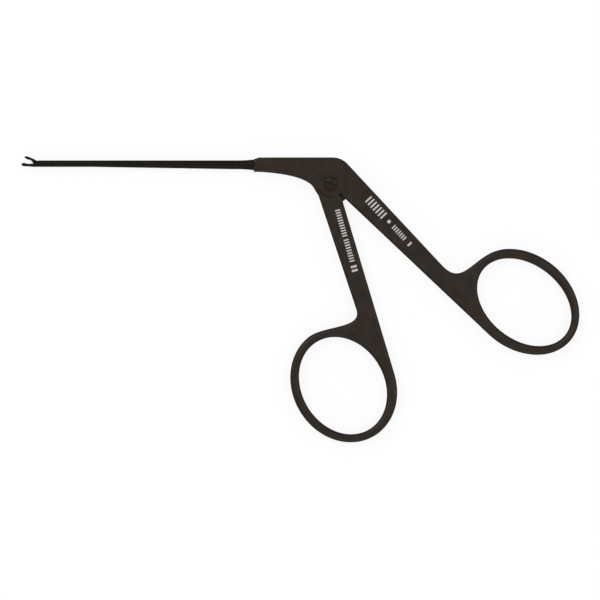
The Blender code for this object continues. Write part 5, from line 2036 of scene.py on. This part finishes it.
@dataclass
class Studio:
    """The floor, the light and the camera."""

    floor_size: float = 8.0
    floor_gap: float = 0.01 * MM
    floor_colour: Colour = (0.96, 0.96, 0.96)
    floor_roughness: float = 0.9
    shown_white: float = 0.88
    ambient: float = 0.53
    camera_x: float = -7.75 * MM
    camera_y: float = -29.0 * MM
    camera_height: float = 0.835
    lens: float = 200.0
    sensor: float = 36.0
    lamps: tuple[Lamp, ...] = (
        Lamp("key", (-0.45, 0.40, 0.75), 0.5, 3.2),
        Lamp("fill", (0.55, 0.05, 0.65), 0.6, 1.7),
        Lamp("low", (-0.05, -0.65, 0.55), 0.5, 1.3),
    )

    def floor(self) -> None:
        """Lays the floor, white to the eye but for the shadow on it."""
        mesh = bmesh.new()
        bmesh.ops.create_grid(mesh, x_segments=1, y_segments=1, size=self.floor_size / 2)
        bmesh.ops.translate(mesh, verts=mesh.verts, vec=(0, 0, -self.floor_gap))
        made = as_object("floor", mesh)
        paint = Paint("floor_white")
        paint.shader.inputs["Base Color"].default_value = (*self.floor_colour, 1)
        paint.shader.inputs["Roughness"].default_value = self.floor_roughness
        paint.shader.inputs["Specular IOR Level"].default_value = 0.0
        seen = self._seen(paint)
        glow = paint.node("ShaderNodeEmission", inputs={"Color": (1, 1, 1, 1), "Strength": 1.0})
        surface = Wire(paint, paint.shader.outputs[0])
        lit = paint.node("ShaderNodeMixShader", inputs={0: seen * self.shown_white, 1: surface, 2: glow})
        clear = paint.node("ShaderNodeBsdfTransparent")
        behind = paint.node("ShaderNodeNewGeometry", output="Backfacing")
        whole = paint.node("ShaderNodeMixShader", inputs={0: behind, 1: lit, 2: clear})
        paint.feed(paint.output.inputs["Surface"], whole)
        made.data.materials.append(paint.material)
        made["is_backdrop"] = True

    def _seen(self, paint: Paint) -> Wire:
        """A value of 1 for what the camera, a reflection or a clear body sees."""
        names = ("Is Camera Ray", "Is Glossy Ray", "Is Transmission Ray")
        camera, glossy, clear = (paint.node("ShaderNodeLightPath", output=name) for name in names)
        return paint.ramp(camera + glossy + clear, 0.0, 1.0)

    def world(self) -> None:
        """Makes the surroundings, white to the eye and an even soft light for the object."""
        world = bpy.data.worlds.new("studio")
        world.use_nodes = True
        tree = world.node_tree
        shade = tree.nodes["Background"]
        shade.inputs["Color"].default_value = (1, 1, 1, 1)
        path = tree.nodes.new("ShaderNodeLightPath")
        level = tree.nodes.new("ShaderNodeMapRange")
        level.inputs["To Min"].default_value = self.ambient
        level.inputs["To Max"].default_value = 1.0
        tree.links.new(path.outputs["Is Camera Ray"], level.inputs["Value"])
        tree.links.new(level.outputs[0], shade.inputs["Strength"])
        bpy.context.scene.world = world

    def hang(self, lamp: Lamp) -> None:
        """Hangs a lamp so that it faces the forceps.

        Args:
            lamp: The lamp.
        """
        light = bpy.data.lights.new(lamp.name, "AREA")
        light.shape = "SQUARE"
        light.size = lamp.size
        light.energy = lamp.power
        made = in_scene(lamp.name, light)
        way = Vector((self.camera_x, self.camera_y, 0)) - Vector(lamp.place)
        made.location = lamp.place
        made.rotation_euler = way.to_track_quat("-Z", "Y").to_euler()
        made.visible_camera = False

    def camera(self) -> None:
        """Sets the camera straight above the forceps."""
        data = bpy.data.cameras.new("camera")
        data.lens = self.lens
        data.sensor_width = self.sensor
        made = in_scene("camera", data)
        made.location = (self.camera_x, self.camera_y, self.camera_height)
        bpy.context.scene.camera = made

    def build(self) -> None:
        """Sets up the floor, the light, the camera and the plain view of colours."""
        self.floor()
        self.world()
        for lamp in self.lamps:
            self.hang(lamp)
        self.camera()
        bpy.context.scene.view_settings.view_transform = "Standard"


@dataclass
class Forceps:
    """The whole instrument."""

    layout: Layout = field(default_factory=Layout)
    finishes: Finishes = field(default_factory=Finishes)

    def etched_rows(self) -> list[EtchedRow]:
        """The rows of plain bars along both arms."""
        rear = (
            BarGroup(start=0.0, count=7, length=2.1 * MM, width=0.42 * MM, pitch=0.92 * MM),
            BarGroup(start=7.55 * MM, count=1, length=0.8 * MM, width=0.80 * MM, pitch=0.80 * MM),
            BarGroup(start=9.30 * MM, count=7, length=1.25 * MM, width=0.34 * MM, pitch=0.66 * MM),
            BarGroup(start=15.15 * MM, count=1, length=1.3 * MM, width=0.50 * MM, pitch=0.50 * MM),
        )
        front = (
            BarGroup(start=0.0, count=11, length=1.3 * MM, width=0.34 * MM, pitch=0.66 * MM),
            BarGroup(start=7.70 * MM, count=9, length=1.3 * MM, width=0.34 * MM, pitch=0.68 * MM),
            BarGroup(start=14.60 * MM, count=2, length=1.5 * MM, width=0.55 * MM, pitch=1.00 * MM),
        )
        along_rear = {"reach": 10.14 * MM, "turn": -22.5, "slope": -47.5, "groups": rear}
        along_front = {"reach": 6.82 * MM, "turn": -76.2, "slope": -74.0, "groups": front}
        return [
            EtchedRow(self.layout, "rear_bars", Body.FRAME, **along_rear),
            EtchedRow(self.layout, "front_bars", Body.HANDLE, **along_front),
        ]

    def build(self) -> None:
        """Builds every piece in order."""
        lay, shapes, finishes = self.layout, Shapes(self.layout.fine), self.finishes
        handle, shaft, axle = (one.material() for one in (finishes.handle, finishes.shaft, finishes.axle))
        RearHandle(lay, shapes).build(handle)
        FrontHandle(lay, shapes).build(handle)
        PivotScrew(lay, shapes).build(finishes.screw.material())
        FixedBar(lay, shapes).build(shaft)
        SliderBar(lay, shapes).build(shaft)
        UpperJaw(lay, shapes).build(finishes.jaw.material())
        jaw_pin = {"name": "jaw_axle", "node": "jaw_pin", "body": Body.FRAME}
        link_pin = {"name": "fork_axle", "node": "link_pin", "body": Body.BAR}
        CrossPin(lay, shapes, place=lay.jaw_pin, radius=lay.jaw_pin_radius, **jaw_pin).build(axle)
        CrossPin(lay, shapes, place=lay.link_pin, radius=lay.link_pin_radius, **link_pin).build(axle)
        bars, etched = EtchedBars(), finishes.etched.material()
        for row in self.etched_rows():
            row.build(bars, etched)


def box_numbers() -> list[list[float]]:
    """The lowest and highest corners of what shows, as plain numbers."""
    return [[float(value) for value in corner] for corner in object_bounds()]


def main() -> None:
    """Builds the forceps and the studio."""
    logging.basicConfig(level=logging.INFO, format="%(message)s")
    Forceps().build()
    Studio().build()
    log.info("CAD box %s, visual box %s", CAD_BOX, box_numbers())


if __name__ == "__main__":
    main()
